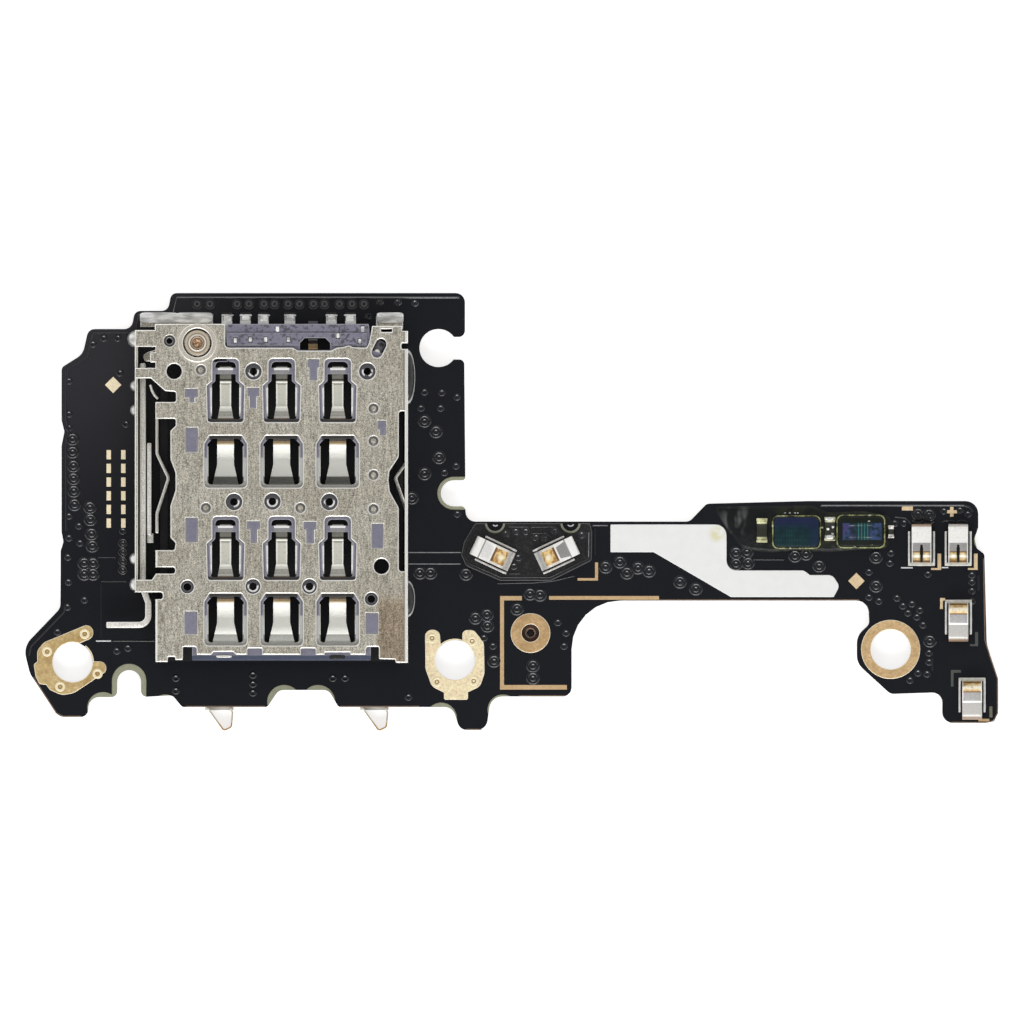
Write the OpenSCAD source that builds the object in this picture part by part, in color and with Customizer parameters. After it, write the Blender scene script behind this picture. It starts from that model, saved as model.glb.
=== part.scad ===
// SIM reader board of a phone, with a socket for a two-sided nano-SIM tray.
// Millimetres, Z up. The origin is on the axis of the centre screw hole, at the underside of the board.

/* [Board] */
// Thickness of the laminate
board_t = 0.7; // [0.55:0.05:1.2]
// Thickness of the black mask film on the laminate
mask_t = 0.03; // [0.02:0.01:0.05]
// Thickness of the gold-plated pads on the laminate
pad_t = 0.05; // [0.03:0.01:0.08]
// Radius of the three screw holes
screw_hole_r = 0.9; // [0.75:0.05:0.95]
// Radius of the microphone port
mic_port_r = 0.4; // [0.3:0.05:0.5]
// Outer radius of the gold ring round the microphone port
mic_ring_r = 0.9; // [0.7:0.05:1]
// Top edge of the board behind the socket
back_edge_y = 16.62; // [16.5:0.02:17]
// Left edge of the board
left_edge_x = -17.82; // [-18:0.02:-17.8]
// Front edge of the board under the socket
front_edge_y = -2.13; // [-2.3:0.01:-2.1]
// Back edge of the arm that runs to the right
arm_back_y = 6.27; // [6.25:0.01:6.4]
// Front edge of that arm
arm_front_y = 2.69; // [2.6:0.01:2.72]
// Right end of that arm
arm_end_x = 24.6; // [24:0.1:27]

/* [Parts on the board] */
// Thickness of the tinned ground plate
plate_t = 0.06; // [0.04:0.01:0.1]
// Thickness of the black insulator under the microphone clips
insulator_t = 0.1; // [0.06:0.01:0.15]
// Length of a spring clip
clip_len = 1.9; // [1.8:0.05:2]
// Width of a spring clip
clip_w = 1.22; // [1.1:0.02:1.26]
// Height of a spring clip
clip_h = 1; // [0.85:0.05:1.2]
// Thickness of the strip that clips, contacts and tails are stamped from
strip_t = 0.1; // [0.08:0.01:0.12]
// Length of a filter chip
chip_len = 2.05; // [1.9:0.05:2.1]
// Width of a filter chip
chip_w = 1.36; // [1.2:0.02:1.4]
// Height of a filter chip
chip_h = 0.4; // [0.3:0.02:0.5]
// Height of the resin round the chips
resin_h = 0.2; // [0.14:0.02:0.26]
// Thickness of the ribbon of a ground finger
ribbon_t = 0.07; // [0.05:0.01:0.1]
// Height of the ribbon of a ground finger
ribbon_h = 0.6; // [0.4:0.05:0.7]

/* [Socket] */
// Centre of the contact field, left and right
socket_x = -7.85; // [-7.9:0.01:-7.8]
// Centre of the contact field, front and back
socket_y = 6.84; // [6.8:0.01:6.88]
// Width over the side walls of the cover
cage_w = 11.44; // [11.4:0.02:11.6]
// Height of the cover above the board
cover_h = 2.3; // [2.2:0.05:2.6]
// Thickness of the steel sheet
sheet_t = 0.15; // [0.12:0.01:0.16]
// Distance between contact columns
col_pitch = 2.54; // [2.5:0.01:2.58]
// Distance between the two contact rows of one card
row_gap = 7.15; // [7.1:0.01:7.2]
// Thickness of the lower plastic
floor_t = 0.36; // [0.3:0.01:0.4]
// Thickness of the upper plastic
roof_t = 0.35; // [0.3:0.01:0.4]
// Plastic rim that shows inside each cover window
rim_w = 0.13; // [0.1:0.01:0.14]
// Height by which an upper contact hangs into the tray space
upper_drop = 0.45; // [0.35:0.05:0.5]
// Height by which a lower contact rises into the tray space
lower_rise = 0.55; // [0.4:0.05:0.6]
// Clearance between metal and plastic that are moulded or pressed together
seat_gap = 0.01; // [0.01:0.005:0.02]
// Clearance between pieces that move on each other
run_gap = 0.03; // [0.02:0.005:0.04]

/* [Ejector] */
// Thickness of the lever plate
lever_t = 0.35; // [0.25:0.05:0.4]
// Height of the underside of the lever above the board
lever_z = 0.85; // [0.8:0.01:0.9]
// Radius of the lever hub
hub_r = 0.62; // [0.56:0.02:0.64]
// Radius of the rivet where the lever turns on it
pin_r = 0.38; // [0.3:0.02:0.4]
// Length of the arm that the push rod lifts
short_arm = 2.35; // [2.3:0.01:2.38]
// Angle by which that arm points to the front at rest
short_arm_deg = 16; // [14:1:18]
// Length of the arm that pushes the tray out
long_arm = 3.8; // [3.4:0.1:4]
// Thickness of the push rod strip
rod_t = 0.28; // [0.24:0.01:0.3]
// Height of the push rod strip
rod_h = 0.9; // [0.7:0.05:1]

/* [Hidden] */
$fn = 48;

// Heights above the underside of the board, and above the seat of the socket
seat = board_t + mask_t;
plate_z = cover_h - sheet_t;
roof_z = plate_z - roof_t;

// Places on the board
left_hole = [-17.32, -0.1];
centre_hole = [0, 0];
right_hole = [arm_end_x - 4.87, 0.48];
mic_port = [3.42, 1.22];
ring_r = 1.34;
back_notch = [-0.75, 14.13];
back_notch_r = 0.86;
side_notch = [-0.05, 7.55];
side_notch_r = 0.59;
slot_x = -14.76;
slot_y = -1;
slot_r = 0.54;

// Places in the socket
half_w = cage_w / 2;
wall_in = half_w - sheet_t;
channel_w = 0.93;
outer_wall_x = -half_w - channel_w;
pivot = [-half_w + 1.9, 7.52];
back_left = pivot[0] + 1.26;
roof_left = back_left + 0.08;
rivet_r = 0.58;
nose_r = 0.2;
back_y = 8.38;
tab_front = -3.78;
tab_back = 8.1;

// Corner rounding: each point of an outline is [x, y, radius]
function unit(v) = v / norm(v);
function xy(p) = [p[0], p[1]];
function turn(a, b) = ((b - a + 540) % 360) - 180;
function heading(a, b) = atan2(b[1] - a[1], b[0] - a[0]);
function fillet(a, b, c, r, n) =
    r == 0 ? [b] :
    let (u = unit(a - b), w = unit(c - b))
    let (half = acos(u * w) / 2)
    let (centre = b + unit(u + w) * r / sin(half))
    let (from = heading(centre, b + u * r / tan(half)))
    let (sweep = turn(from, heading(centre, b + w * r / tan(half))))
    [for (k = [0:n]) centre + r * [cos(from + sweep * k / n), sin(from + sweep * k / n)]];
function rounded(p, n = 6) =
    let (m = len(p))
    [for (i = [0:m - 1]) each fillet(xy(p[(i + m - 1) % m]), xy(p[i]), xy(p[(i + 1) % m]), p[i][2], n)];
function bent(p, n = 6) =
    let (m = len(p) - 1)
    [for (i = [0:m]) each i == 0 || i == m ? [xy(p[i])]
        : fillet(xy(p[i - 1]), xy(p[i]), xy(p[i + 1]), p[i][2], n)];

// Outline of a strip of thickness t that follows a bent path
function along(p, i) = unit(p[min(i + 1, len(p) - 1)] - p[min(i, len(p) - 2)]);
function before(p, i) = unit(p[max(i, 1)] - p[max(i - 1, 0)]);
function left_of(v) = [-v[1], v[0]];
function offset_at(p, i, d) =
    let (side = unit(left_of(along(p, i)) + left_of(before(p, i))))
    p[i] + side * d / (side * left_of(along(p, i)));
function strip(p, t) =
    [for (i = [0:len(p) - 1]) offset_at(p, i, t / 2),
     for (i = [len(p) - 1:-1:0]) offset_at(p, i, -t / 2)];

module box(x0, y0, z0, x1, y1, z1) {
    translate([x0, y0, z0])
        cube([x1 - x0, y1 - y0, z1 - z0]);
}
module rect(x0, y0, x1, y1, grow = 0) {
    translate([x0 - grow, y0 - grow])
        square([x1 - x0 + 2 * grow, y1 - y0 + 2 * grow]);
}
module at_seat() {
    translate([0, 0, seat])
        children();
}
module at_socket() {
    translate([socket_x, socket_y, seat])
        children();
}

// Board
board_corners = [
    [-12.85, back_edge_y, 0.3], [0.45, back_edge_y, 0.42],
    [0.45, 14.63, 0.28], [-0.6, 14.63, 0], [-0.6, 13.61, 0], [0.42, 13.61, 0.22],
    [0.47, 8.14, 0.14], [side_notch[0], 8.14, 0], [side_notch[0], 6.96, 0], [0.47, 6.96, 0.2],
    [0.5, arm_back_y, 0.45], [arm_end_x - 13.98, arm_back_y, 0.4], [arm_end_x - 13.2, 7.08, 0.3],
    [arm_end_x - 8.6, 7.2, 0], [arm_end_x - 0.9, 7.2, 0.58], [arm_end_x - 0.9, 6, 0.2],
    [arm_end_x - 1.07, 5.5, 0.4], [arm_end_x - 0.96, 5.05, 0.2], [arm_end_x - 0.62, 4.8, 0.2],
    [arm_end_x - 0.52, 0.75, 1.5], [arm_end_x, -1, 1.5], [arm_end_x, -2.85, 0.58],
    [arm_end_x - 2.54, -2.85, 0.48], [arm_end_x - 2.52, -1.46, 0.45], [arm_end_x - 4.88, -1.54, 0.4],
    [arm_end_x - 6.4, -0.15, 0.8], [arm_end_x - 6.4, 1.1, 0.8], [arm_end_x - 5.84, 1.62, 0.3],
    [arm_end_x - 5.88, arm_front_y, 0.55], [5.28, arm_front_y, 2.2],
    [5.28, -1.65, 0.4], [1.62, -1.65, 0.6], [1.42, -3.17, 0.48], [0.22, -3.17, 0.42],
    [-0.1, front_edge_y, 0.5], [-5.28, front_edge_y, 0.2], [-5.72, -1.36, 0.4], [-7.98, -1.36, 0.4],
    [-8.5, front_edge_y, 0.2], [-12.36, front_edge_y, 0.2], [-12.8, -1.6, 0.3],
    [slot_x + slot_r, -1.68, 0.25], [slot_x + slot_r, slot_y, 0], [slot_x - slot_r, slot_y, 0],
    [slot_x - slot_r, -1.68, 0.25], [-16.6, -1.68, 0.5], [-16.62, -2.58, 0.33], [-17.95, -2.58, 0.5],
    [-19.25, -0.62, 1], [-19.55, 0.6, 0.9], [-17.87, 2.35, 0.5],
    [left_edge_x - 0.04, 4.95, 0.1], [-17.73, 5.35, 0.3], [left_edge_x, 5.8, 0.1],
    [left_edge_x, 9.7, 0.1], [-17.69, 10.35, 0.3], [left_edge_x, 10.85, 0.1],
    [left_edge_x, 13.25, 0.25], [-16.86, 13.85, 0.7], [-16.6, 14.99, 0.35], [-14.65, 14.99, 0.4],
    [-14.5, 15.81, 0.3], [-13, 15.81, 0.35]];

module board_2d() {
    difference() {
        polygon(rounded(board_corners));
        translate(back_notch)
            circle(back_notch_r);
        translate(side_notch)
            circle(side_notch_r);
        translate([slot_x, slot_y])
            circle(slot_r);
    }
}
module circuit_board() {
    color("#7a7450")
        difference() {
            linear_extrude(board_t)
                board_2d();
            for (h = [left_hole, centre_hole, right_hole])
                translate([h[0], h[1], -1])
                    cylinder(r = screw_hole_r, h = board_t + 2);
            translate([mic_port[0], mic_port[1], board_t / 2])
                cylinder(r = mic_port_r, h = board_t);
            translate([mic_port[0], mic_port[1], -1])
                cylinder(r = mic_port_r * 0.45, h = board_t + 2);
        }
}

// Round and straight places where the mask stops short of the edge: [x, y, radius]
bare_rims = [[-15.94, -2.17, 0.72], [-13.13, -2.22, 0.66], [-7.74, -1.9, 0.77], [-6.2, -1.9, 0.77],
             [-0.63, -2.65, 0.72], [2.17, -2.26, 0.7], [arm_end_x - 0.55, 5.42, 0.55]];
slot_pull = 0.24;
notch_pull = 0.16;
module bare_2d() {
    for (r = bare_rims)
        translate([r[0], r[1]])
            circle(r[2]);
    translate([slot_x, slot_y + 0.05])
        circle(slot_r + slot_pull);
    rect(slot_x - slot_r - slot_pull, -3, slot_x + slot_r + slot_pull, slot_y + 0.05);
    translate(side_notch)
        circle(side_notch_r + notch_pull);
    rect(side_notch[0], side_notch[1] - side_notch_r - notch_pull, 1,
         side_notch[1] + side_notch_r + notch_pull);
}
module left_pad_2d() {
    difference() {
        polygon(rounded([
            [-16.38, 1.73, 0.31], [-16.38, 1.02, 0.31], [-17.05, 0.73, 0], [-16.5, -0.06, 0],
            [-15.79, -0.06, 0.3], [-15.79, -0.52, 0.25], [-17.25, -1.5, 0.8], [-17.8, -1.6, 0.6],
            [-18.34, -1.36, 0.1], [-18.52, -1.12, 0.05], [-18.82, -1.1, 0.1], [-19, -0.75, 0.2],
            [-19.08, -0.2, 0.08], [-18.92, -0.06, 0], [-18.93, 0.42, 0.5], [-18.62, 0.8, 0.5]]));
        translate(left_hole)
            circle(screw_hole_r);
    }
}
module centre_pad_2d() {
    difference() {
        polygon(rounded([
            [-1.36, 1.37, 0.3], [-0.7, 1.37, 0.3], [-0.64, 0.6, 0], [0.33, 0.6, 0], [0.33, 1.36, 0.22],
            [0.85, 1.36, 0.3], [1.31, 0.8, 0.45], [1.34, -0.6, 0.4], [1.14, -1.2, 0.45],
            [0.59, -1.46, 0], [0.59, -1.8, 0.08], [-0.5, -1.8, 0.08], [-0.5, -1.48, 0],
            [-1.05, -1.2, 0.45], [-1.34, -0.4, 0.5]]));
        translate(centre_hole)
            circle(screw_hole_r);
    }
}
module right_pad_2d() {
    translate(right_hole)
        difference() {
            circle(ring_r);
            circle(screw_hole_r);
        }
}
module mic_pad_2d() {
    translate(mic_port)
        difference() {
            circle(mic_ring_r);
            circle(mic_port_r);
        }
}
module solder_mask() {
    color("#1e1e24")
        translate([0, 0, board_t])
            difference() {
                linear_extrude(mask_t)
                    difference() {
                        board_2d();
                        bare_2d();
                        left_pad_2d();
                        centre_pad_2d();
                    }
                for (h = [left_hole, centre_hole])
                    translate([h[0], h[1], -1])
                        cylinder(r = screw_hole_r, h = 3);
                translate([right_hole[0], right_hole[1], -1])
                    cylinder(r = ring_r, h = 3);
                translate([mic_port[0], mic_port[1], -1])
                    cylinder(r = mic_ring_r, h = 3);
            }
}
module on_laminate(t) {
    translate([0, 0, board_t])
        linear_extrude(t)
            children();
}
module left_screw_pad() {
    color("#c9a24e")
        on_laminate(pad_t)
            left_pad_2d();
}
module centre_screw_pad() {
    color("#dccb9a")
        on_laminate(pad_t)
            centre_pad_2d();
}
module right_screw_pad() {
    color("#cfae6a")
        on_laminate(pad_t)
            right_pad_2d();
}
module mic_port_pad() {
    color("#cfae6a")
        on_laminate(pad_t)
            mic_pad_2d();
}

// Bare gold marks on the mask: [x0, y0, x1, y1]
mark_t = 0.02;
mark_bars = [
    [2.04, -1.34, 2.22, 2.9], [2.04, 2.7, 3.03, 2.9], [4.26, 2.73, 9.24, 2.9], [2.04, -1.34, 5.07, -1.13],
    [6.34, 3.6, 6.48, 4.42], [5.55, 3.6, 6.48, 3.71]];
// The same beside the arm's clips, from the end of the arm
end_bars = [
    [-2.75, 4.08, -2.58, 4.82], [-3.04, 4.08, -2.58, 4.17], [-1.1, 4.08, -0.93, 4.82],
    [-1.37, 4.08, -0.93, 4.17], [-2.63, 2.31, -2.5, 2.81], [-2.63, 2.69, -2.4, 2.81],
    [-1.05, 0.63, -0.91, 1.27], [-1.28, 0.63, -0.91, 0.72], [-2.14, -1.2, -2.02, -0.45],
    [-2.14, -0.58, -1.68, -0.45], [-0.4, -2.6, -0.26, -2.1], [-0.9, -2.78, -0.4, -2.66],
    [-4.36, 6.77, -3.86, 6.97], [-2.32, 6.64, -1.86, 6.79], [-2.18, 6.49, -2.02, 6.94]];
mark_diamonds = [[-15.48, 12.46], [arm_end_x - 6.42, 3.58]];
diamond_side = 0.53;
dash_x = socket_x + outer_wall_x - 0.85;
dash_y = 6.2;
dash_step = 0.62;
module gold_marks() {
    color("#d0aa5c")
        at_seat()
            linear_extrude(mark_t) {
                for (m = mark_bars)
                    rect(m[0], m[1], m[2], m[3]);
                for (m = end_bars)
                    rect(arm_end_x + m[0], m[1], arm_end_x + m[2], m[3]);
                for (d = mark_diamonds)
                    translate(d)
                        rotate(45)
                            square(diamond_side, center = true);
                for (i = [0:5])
                    for (side = [-1, 1])
                        translate([dash_x + side * 0.33, dash_y + i * dash_step])
                            square([0.2, 0.42], center = true);
            }
}
module ground_plate() {
    color("#e6e6e4")
        at_seat()
            linear_extrude(plate_t)
                polygon(rounded([
                    [7.04, 6.14, 0.05], [arm_end_x - 12.3, 6.14, 0.5], [arm_end_x - 12.3, 4.06, 0.45],
                    [arm_end_x - 8.8, 4.06, 0.2], [arm_end_x - 8.52, 3.85, 0.1],
                    [arm_end_x - 7.5, 3.85, 0.35], [arm_end_x - 7.18, 3.35, 0.3],
                    [arm_end_x - 7.45, 2.85, 0.05], [arm_end_x - 12.1, 2.85, 0.1], [9, 4.88, 0.1],
                    [7.04, 4.88, 0.05]]));
}
insulator_holes = [1.81, 5.23];
module clip_insulator() {
    color("#26262a")
        at_seat()
            linear_extrude(insulator_t)
                difference() {
                    polygon(rounded([
                        [0.9, arm_back_y - 0.07, 0.2], [6.12, arm_back_y - 0.07, 0.1], [6.22, 5.8, 0.1],
                        [6.2, 4.5, 0.2], [4.35, 3.58, 0.2], [2.05, 3.58, 0.2], [0.5, 4.25, 0.3],
                        [0.27, 4.75, 0.2], [0.4, 5.35, 0.4]]));
                    for (x = insulator_holes)
                        translate([x, arm_back_y - 0.07])
                            circle(0.36);
                }
}

// Spring clip, its free gold end towards +X
fence_t = 0.1;
tongue_side = 0.16;
slit_w = 0.11;
module spring_clip(len_mm, w, h, slit) {
    rear = -len_mm / 2 + strip_t / 2;
    crest = len_mm * 0.26;
    foot = bent([[len_mm / 2, strip_t / 2, 0], [rear, strip_t / 2, h * 0.28],
                 [rear, h * 0.72, h * 0.25], [rear + len_mm * 0.38, h * 0.72, 0.1],
                 [crest, h - strip_t * 0.6, 0.1], [len_mm * 0.42, h * 0.45, 0]], 5);
    difference() {
        rotate([90, 0, 0])
            translate([0, 0, -w / 2 + tongue_side])
                linear_extrude(w - 2 * tongue_side)
                    polygon(strip(foot, strip_t));
        if (slit)
            box(-0.02, -slit_w / 2, h * 0.3, len_mm, slit_w / 2, h + 1);
    }
    box(rear + h * 0.28, -w / 2, 0, len_mm / 2, w / 2, strip_t);
    for (s = [-1, 1])
        translate([0, s * (w - fence_t) / 2, 0])
            box(rear + h * 0.28, -fence_t / 2, 0, len_mm / 2 - 0.08, fence_t / 2, h * 0.5);
}
mic_clips = [[1.7, 4.82, -25], [4.62, 4.82, 205]];
antenna_clips = [[-3.47, 5.21, -90], [-1.81, 5.21, -90], [-1.8, 1.78, 90], [-1.18, -1.75, 90]];
module mic_clip(i) {
    color("#d8d6d0")
        at_seat()
            translate([mic_clips[i][0], mic_clips[i][1], insulator_t])
                rotate(mic_clips[i][2])
                    spring_clip(clip_len, clip_w, clip_h, false);
}
module antenna_clip(i) {
    color("#d8d6d0")
        at_seat()
            translate([arm_end_x + antenna_clips[i][0], antenna_clips[i][1], 0])
                rotate(antenna_clips[i][2])
                    spring_clip(clip_len, clip_w, clip_h, i < 2);
}

// Filter chips, capacitors and the resin round them
chips = [[arm_end_x - 9.13, 5.79], [arm_end_x - 6.22, 5.82]];
capacitors = [[arm_end_x - 10.7, 5.87, 0.5, 1.1], [arm_end_x - 7.62, 5.94, 0.5, 1.08],
              [arm_end_x - 4.85, 5.81, 0.28, 0.58]];
cap_h = 0.34;
cap_end = 0.26;
module chip_2d(grow) {
    hx = chip_len / 2 + grow;
    hy = chip_w / 2 + grow;
    polygon(rounded([[-hx, -hy, 0.22], [hx, -hy, 0.22], [hx, hy, 0.22], [-hx, hy, 0.22]]));
}
module resin_2d(inset) {
    polygon(rounded([
        [arm_end_x - 13 + inset, 6.98 - inset, 0.2], [arm_end_x - 8.6, 7.1 - inset, 2],
        [arm_end_x - 4.7 - inset, 7.08 - inset, 0.3], [arm_end_x - 4.6 - inset, 5 + inset, 0.4],
        [arm_end_x - 8.6, 4.85 + inset, 2], [arm_end_x - 11.6, 5 + inset, 0.6],
        [arm_end_x - 12.2 + inset, 5.8, 0.6]]));
}
module potting_resin() {
    color("#121214")
        at_seat()
            difference() {
                union() {
                    linear_extrude(resin_h * 0.6)
                        resin_2d(0);
                    linear_extrude(resin_h)
                        resin_2d(0.12);
                }
                for (c = chips)
                    translate([c[0], c[1], -1])
                        linear_extrude(3)
                            chip_2d(seat_gap);
                for (c = capacitors)
                    translate([c[0], c[1], -1])
                        linear_extrude(3)
                            square([c[2] + 2 * seat_gap, c[3] + 2 * seat_gap], center = true);
            }
}
module filter_chip(i) {
    color("#3f6f86")
        at_seat()
            translate([chips[i][0], chips[i][1], 0])
                linear_extrude(chip_h)
                    chip_2d(0);
}
module chip_capacitor(i) {
    c = capacitors[i];
    color("#b9a98c")
        at_seat()
            translate([c[0], c[1], 0]) {
                box(-c[2] / 2 + 0.02, -c[3] / 2, 0, c[2] / 2 - 0.02, c[3] / 2, cap_h - 0.02);
                for (s = [-1, 1])
                    translate([0, s * c[3] / 2 * (1 - cap_end / 2), cap_h / 2])
                        cube([c[2], c[3] / 2 * cap_end, cap_h], center = true);
            }
}

// Ground finger: a ribbon on edge, bent to a loop outside the front edge, on a foot under the board
finger_foot_t = 0.1;
finger_x = [-10.37, -3.35];
module ground_finger(i) {
    color("#c8b48a")
        translate([finger_x[i], front_edge_y, -finger_foot_t]) {
            linear_extrude(ribbon_h)
                polygon(strip(bent([[-0.82, -0.06, 0], [-0.1, -1.06, 0.12], [0.24, -0.9, 0.14],
                                    [0.3, -0.25, 0.2], [0.2, -0.06, 0]]), ribbon_t));
            box(-0.95, -0.14, 0, 0.34, 1.2, finger_foot_t);
        }
}

// Contact field
cols = [-1, 0, 1, -1, 0, 1];
rows = [1, 1, 1, -1, -1, -1];
module at_contact(i) {
    translate([cols[i] * col_pitch, rows[i] * row_gap / 2])
        children();
}
module window_a(d) {
    polygon(rounded([
        [-0.59 + d, 3.22 - d, 0.2], [0.59 - d, 3.22 - d, 0.2], [0.59 - d, 2.22, 0.05],
        [0.84 - d, 2, 0.05], [0.8 - d, 0.365 + d, 0.12], [-0.8 + d, 0.365 + d, 0.12],
        [-0.84 + d, 2, 0.05], [-0.59 + d, 2.22, 0.05]], 4));
}
module window_b(d) {
    polygon(rounded([
        [-0.725 + d, -0.265 - d, 0.06], [0.725 - d, -0.265 - d, 0.06], [0.95 - d, -0.63, 0.08],
        [0.95 - d, -2.6 + d, 0.18], [-0.95 + d, -2.6 + d, 0.18], [-0.95 + d, -0.63, 0.08]], 4));
}

// Lower contacts, flush in the floor at the root, rising to the back
lower_z = floor_t - strip_t;
rail_w = 0.12;
lower_rail = 0.9;
lower_taper = [[-0.62, -2.62], [-0.38, -1.56], [-0.38, 0], [0.38, 0], [0.38, -1.56], [0.62, -2.62]];
module lower_frame_2d(grow) {
    rect(-lower_rail, -2.8, lower_rail, -2.6, grow);
    for (s = [-1, 1])
        translate([s * (lower_rail - rail_w / 2), 0])
            rect(-rail_w / 2, -2.8, rail_w / 2, -0.74, grow);
    rect(-0.2, -2.95, 0.2, -2.6, grow);
}
module lower_contact(i) {
    color("#d9c48c")
        at_socket()
            at_contact(i) {
                translate([0, 0, lower_z])
                    linear_extrude(strip_t)
                        lower_frame_2d(0);
                box(-0.2, -2.95, 0, 0.2, -2.95 + strip_t, floor_t);
                box(-0.2, -3.15, 0, 0.2, -2.95 + strip_t, strip_t);
                intersection() {
                    rotate([90, 0, 90])
                        translate([0, 0, -1])
                            linear_extrude(2)
                                polygon(strip(bent([
                                    [-2.7, lower_z + strip_t / 2, 0], [-2.4, lower_z + strip_t / 2, 0.2],
                                    [-0.62, lower_z + strip_t / 2 + lower_rise, 0.12],
                                    [-0.36, lower_z + lower_rise - 0.02, 0]]), strip_t));
                    linear_extrude(3)
                        polygon(lower_taper);
                }
            }
}
base_in = wall_in - 0.07;
side_rail_h = 0.26;
module lower_housing() {
    color("#1c1b1e")
        at_socket()
            difference() {
                union() {
                    box(-base_in, -6.9, 0, base_in, 7.95, floor_t);
                    box(roof_left, 7.9, 0, half_w - 1.77, 8.22, roof_z);
                    for (s = [-1, 1])
                        translate([s * (base_in - 0.17), 0, 0])
                            box(-0.17, -6.5, 0, 0.17, 6, floor_t + side_rail_h);
                    translate([pivot[0], pivot[1], 0])
                        cylinder(r = hub_r, h = lever_z - run_gap);
                }
                translate([pivot[0], pivot[1], -1])
                    cylinder(r = pin_r + seat_gap, h = 4);
                for (i = [0:5])
                    at_contact(i) {
                        translate([0, 0, -1])
                            linear_extrude(3) {
                                rect(-lower_rail - seat_gap, -2.55, lower_rail + seat_gap, -0.2);
                                rect(-0.25, -3.2, 0.25, -2.8);
                            }
                        translate([0, 0, lower_z - seat_gap])
                            linear_extrude(3)
                                lower_frame_2d(seat_gap);
                    }
            }
}

// Upper contacts, flush in the underside of the roof, hanging to the front.
// Each lead runs back beside the windows: [lead x, height of its sideways step, tail x]
last_tail = 0.37;
left_tails = last_tail - roof_left;
leads = [[-1.86, 7.62, roof_left], [0.68, 7.68, last_tail], [3.22, 7.85, 2.25],
         [-1.4, 7.9, roof_left + left_tails * 0.295], [-1.12, 7.68, roof_left + left_tails * 0.58],
         [3.58, 8.1, 3.12]];
lead_w = 0.12;
tail_w = 0.48;
tail_len = 0.5;
upper_taper = [[-0.26, 3], [0.26, 3], [0.25, 1.1], [0.36, 0.5], [0.36, 0], [-0.36, 0], [-0.36, 0.5],
               [-0.25, 1.1]];
module upper_frame_2d(i, grow) {
    lead = leads[i];
    cx = cols[i] * col_pitch;
    cy = rows[i] * row_gap / 2;
    rect(cx - 0.26, cy + 2.5, cx + 0.26, cy + 2.92, grow);
    rect(min(cx - 0.74, lead[0] - lead_w / 2), cy + 2.58, max(cx + 0.74, lead[0] + lead_w / 2), cy + 2.77,
         grow);
    for (s = [-1, 1])
        rect(cx + s * 0.68 - 0.06, cy + 0.62, cx + s * 0.68 + 0.06, cy + 2.77, grow);
    rect(lead[0] - lead_w / 2, cy + 2.58, lead[0] + lead_w / 2, lead[1] + 0.09, grow);
    rect(min(lead[0], lead[2]) - lead_w / 2, lead[1] - 0.09, max(lead[0], lead[2]) + lead_w / 2,
         lead[1] + 0.09, grow);
    rect(lead[2] - tail_w / 2, lead[1] - 0.09, lead[2] + tail_w / 2, back_y + strip_t + run_gap, grow);
}
module upper_contact(i) {
    tail_x = leads[i][2];
    tail_y = back_y + run_gap;
    color("#d9c48c")
        at_socket() {
            translate([0, 0, roof_z])
                linear_extrude(strip_t)
                    upper_frame_2d(i, 0);
            box(tail_x - tail_w / 2, tail_y, 0, tail_x + tail_w / 2, tail_y + strip_t, roof_z + strip_t);
            box(tail_x - tail_w / 2, tail_y, 0, tail_x + tail_w / 2, tail_y + tail_len, strip_t);
            at_contact(i)
                intersection() {
                    rotate([90, 0, 90])
                        translate([0, 0, -1])
                            linear_extrude(2)
                                polygon(strip(bent([
                                    [2.7, roof_z + strip_t / 2, 0], [2.25, roof_z + strip_t / 2, 0.2],
                                    [0.62, roof_z + strip_t / 2 - upper_drop, 0.12],
                                    [0.38, roof_z + strip_t - upper_drop, 0]]), strip_t));
                    linear_extrude(4)
                        polygon(upper_taper);
                }
        }
}

// Cut-outs of the cover that the roof fills: [x0, y0, x1, y1]
plugs = [
    [-half_w + 1.36, 5.07, -half_w + 1.9, 5.43], [-half_w + 1.56, 4.85, -half_w + 1.74, 5.12],
    [-half_w + 1.38, 2.58, -half_w + 1.9, 3.67], [-1.53, 5.12, -1.03, 5.48], [-1.42, 4.57, -1.17, 5.16],
    [1.19, 6.43, 1.69, 6.77], [1.28, 5.84, 1.6, 6.48], [half_w - 1.36, 3.62, half_w - 1.02, 3.99],
    [half_w - 1.25, 3.35, half_w - 1.02, 3.67], [-half_w + 1.38, -1.49, -half_w + 1.9, -0.41],
    [-1.55, -0.91, -1.01, -0.57], [-1.39, -1.52, -1.14, -0.86], [1.01, -0.91, 1.55, -0.59],
    [1.14, -1.54, 1.44, -0.86], [half_w - 1.63, -1.77, half_w - 1.13, -0.68],
    [-half_w + 1.34, -5.66, -half_w + 1.88, -4.66], [half_w - 1.9, -5.64, half_w - 1.36, -4.73]];
plug_drop = 0.02;
// Round plastic bosses that fill holes of the cover: [x, y, radius]
bosses = [[-1.28, 6.23, 0.36], [half_w - 1.84, 6.23, 0.36], [-2.16, 0.32, 0.36], [-0.42, 0.34, 0.36],
          [2.16, 0.32, 0.36], [-1.3, -3.51, 0.32], [1.26, -3.51, 0.32], [-half_w + 1.45, -3.53, 0.28],
          [half_w - 1.66, -4.08, 0.28]];
boss_hole = 0.17;
boss_hole_depth = 0.6;
// Shallow round dimples of the cover
dimples = [[-half_w + 2.06, 6.3], [-3.43, 0.05], [0.85, 0.05], [half_w - 1.56, 4.55], [half_w - 1.56, 3.08],
           [half_w - 1.56, 1.54], [half_w - 1.56, 0]];
dimple_r = 0.22;
dimple_depth = 0.05;
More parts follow.
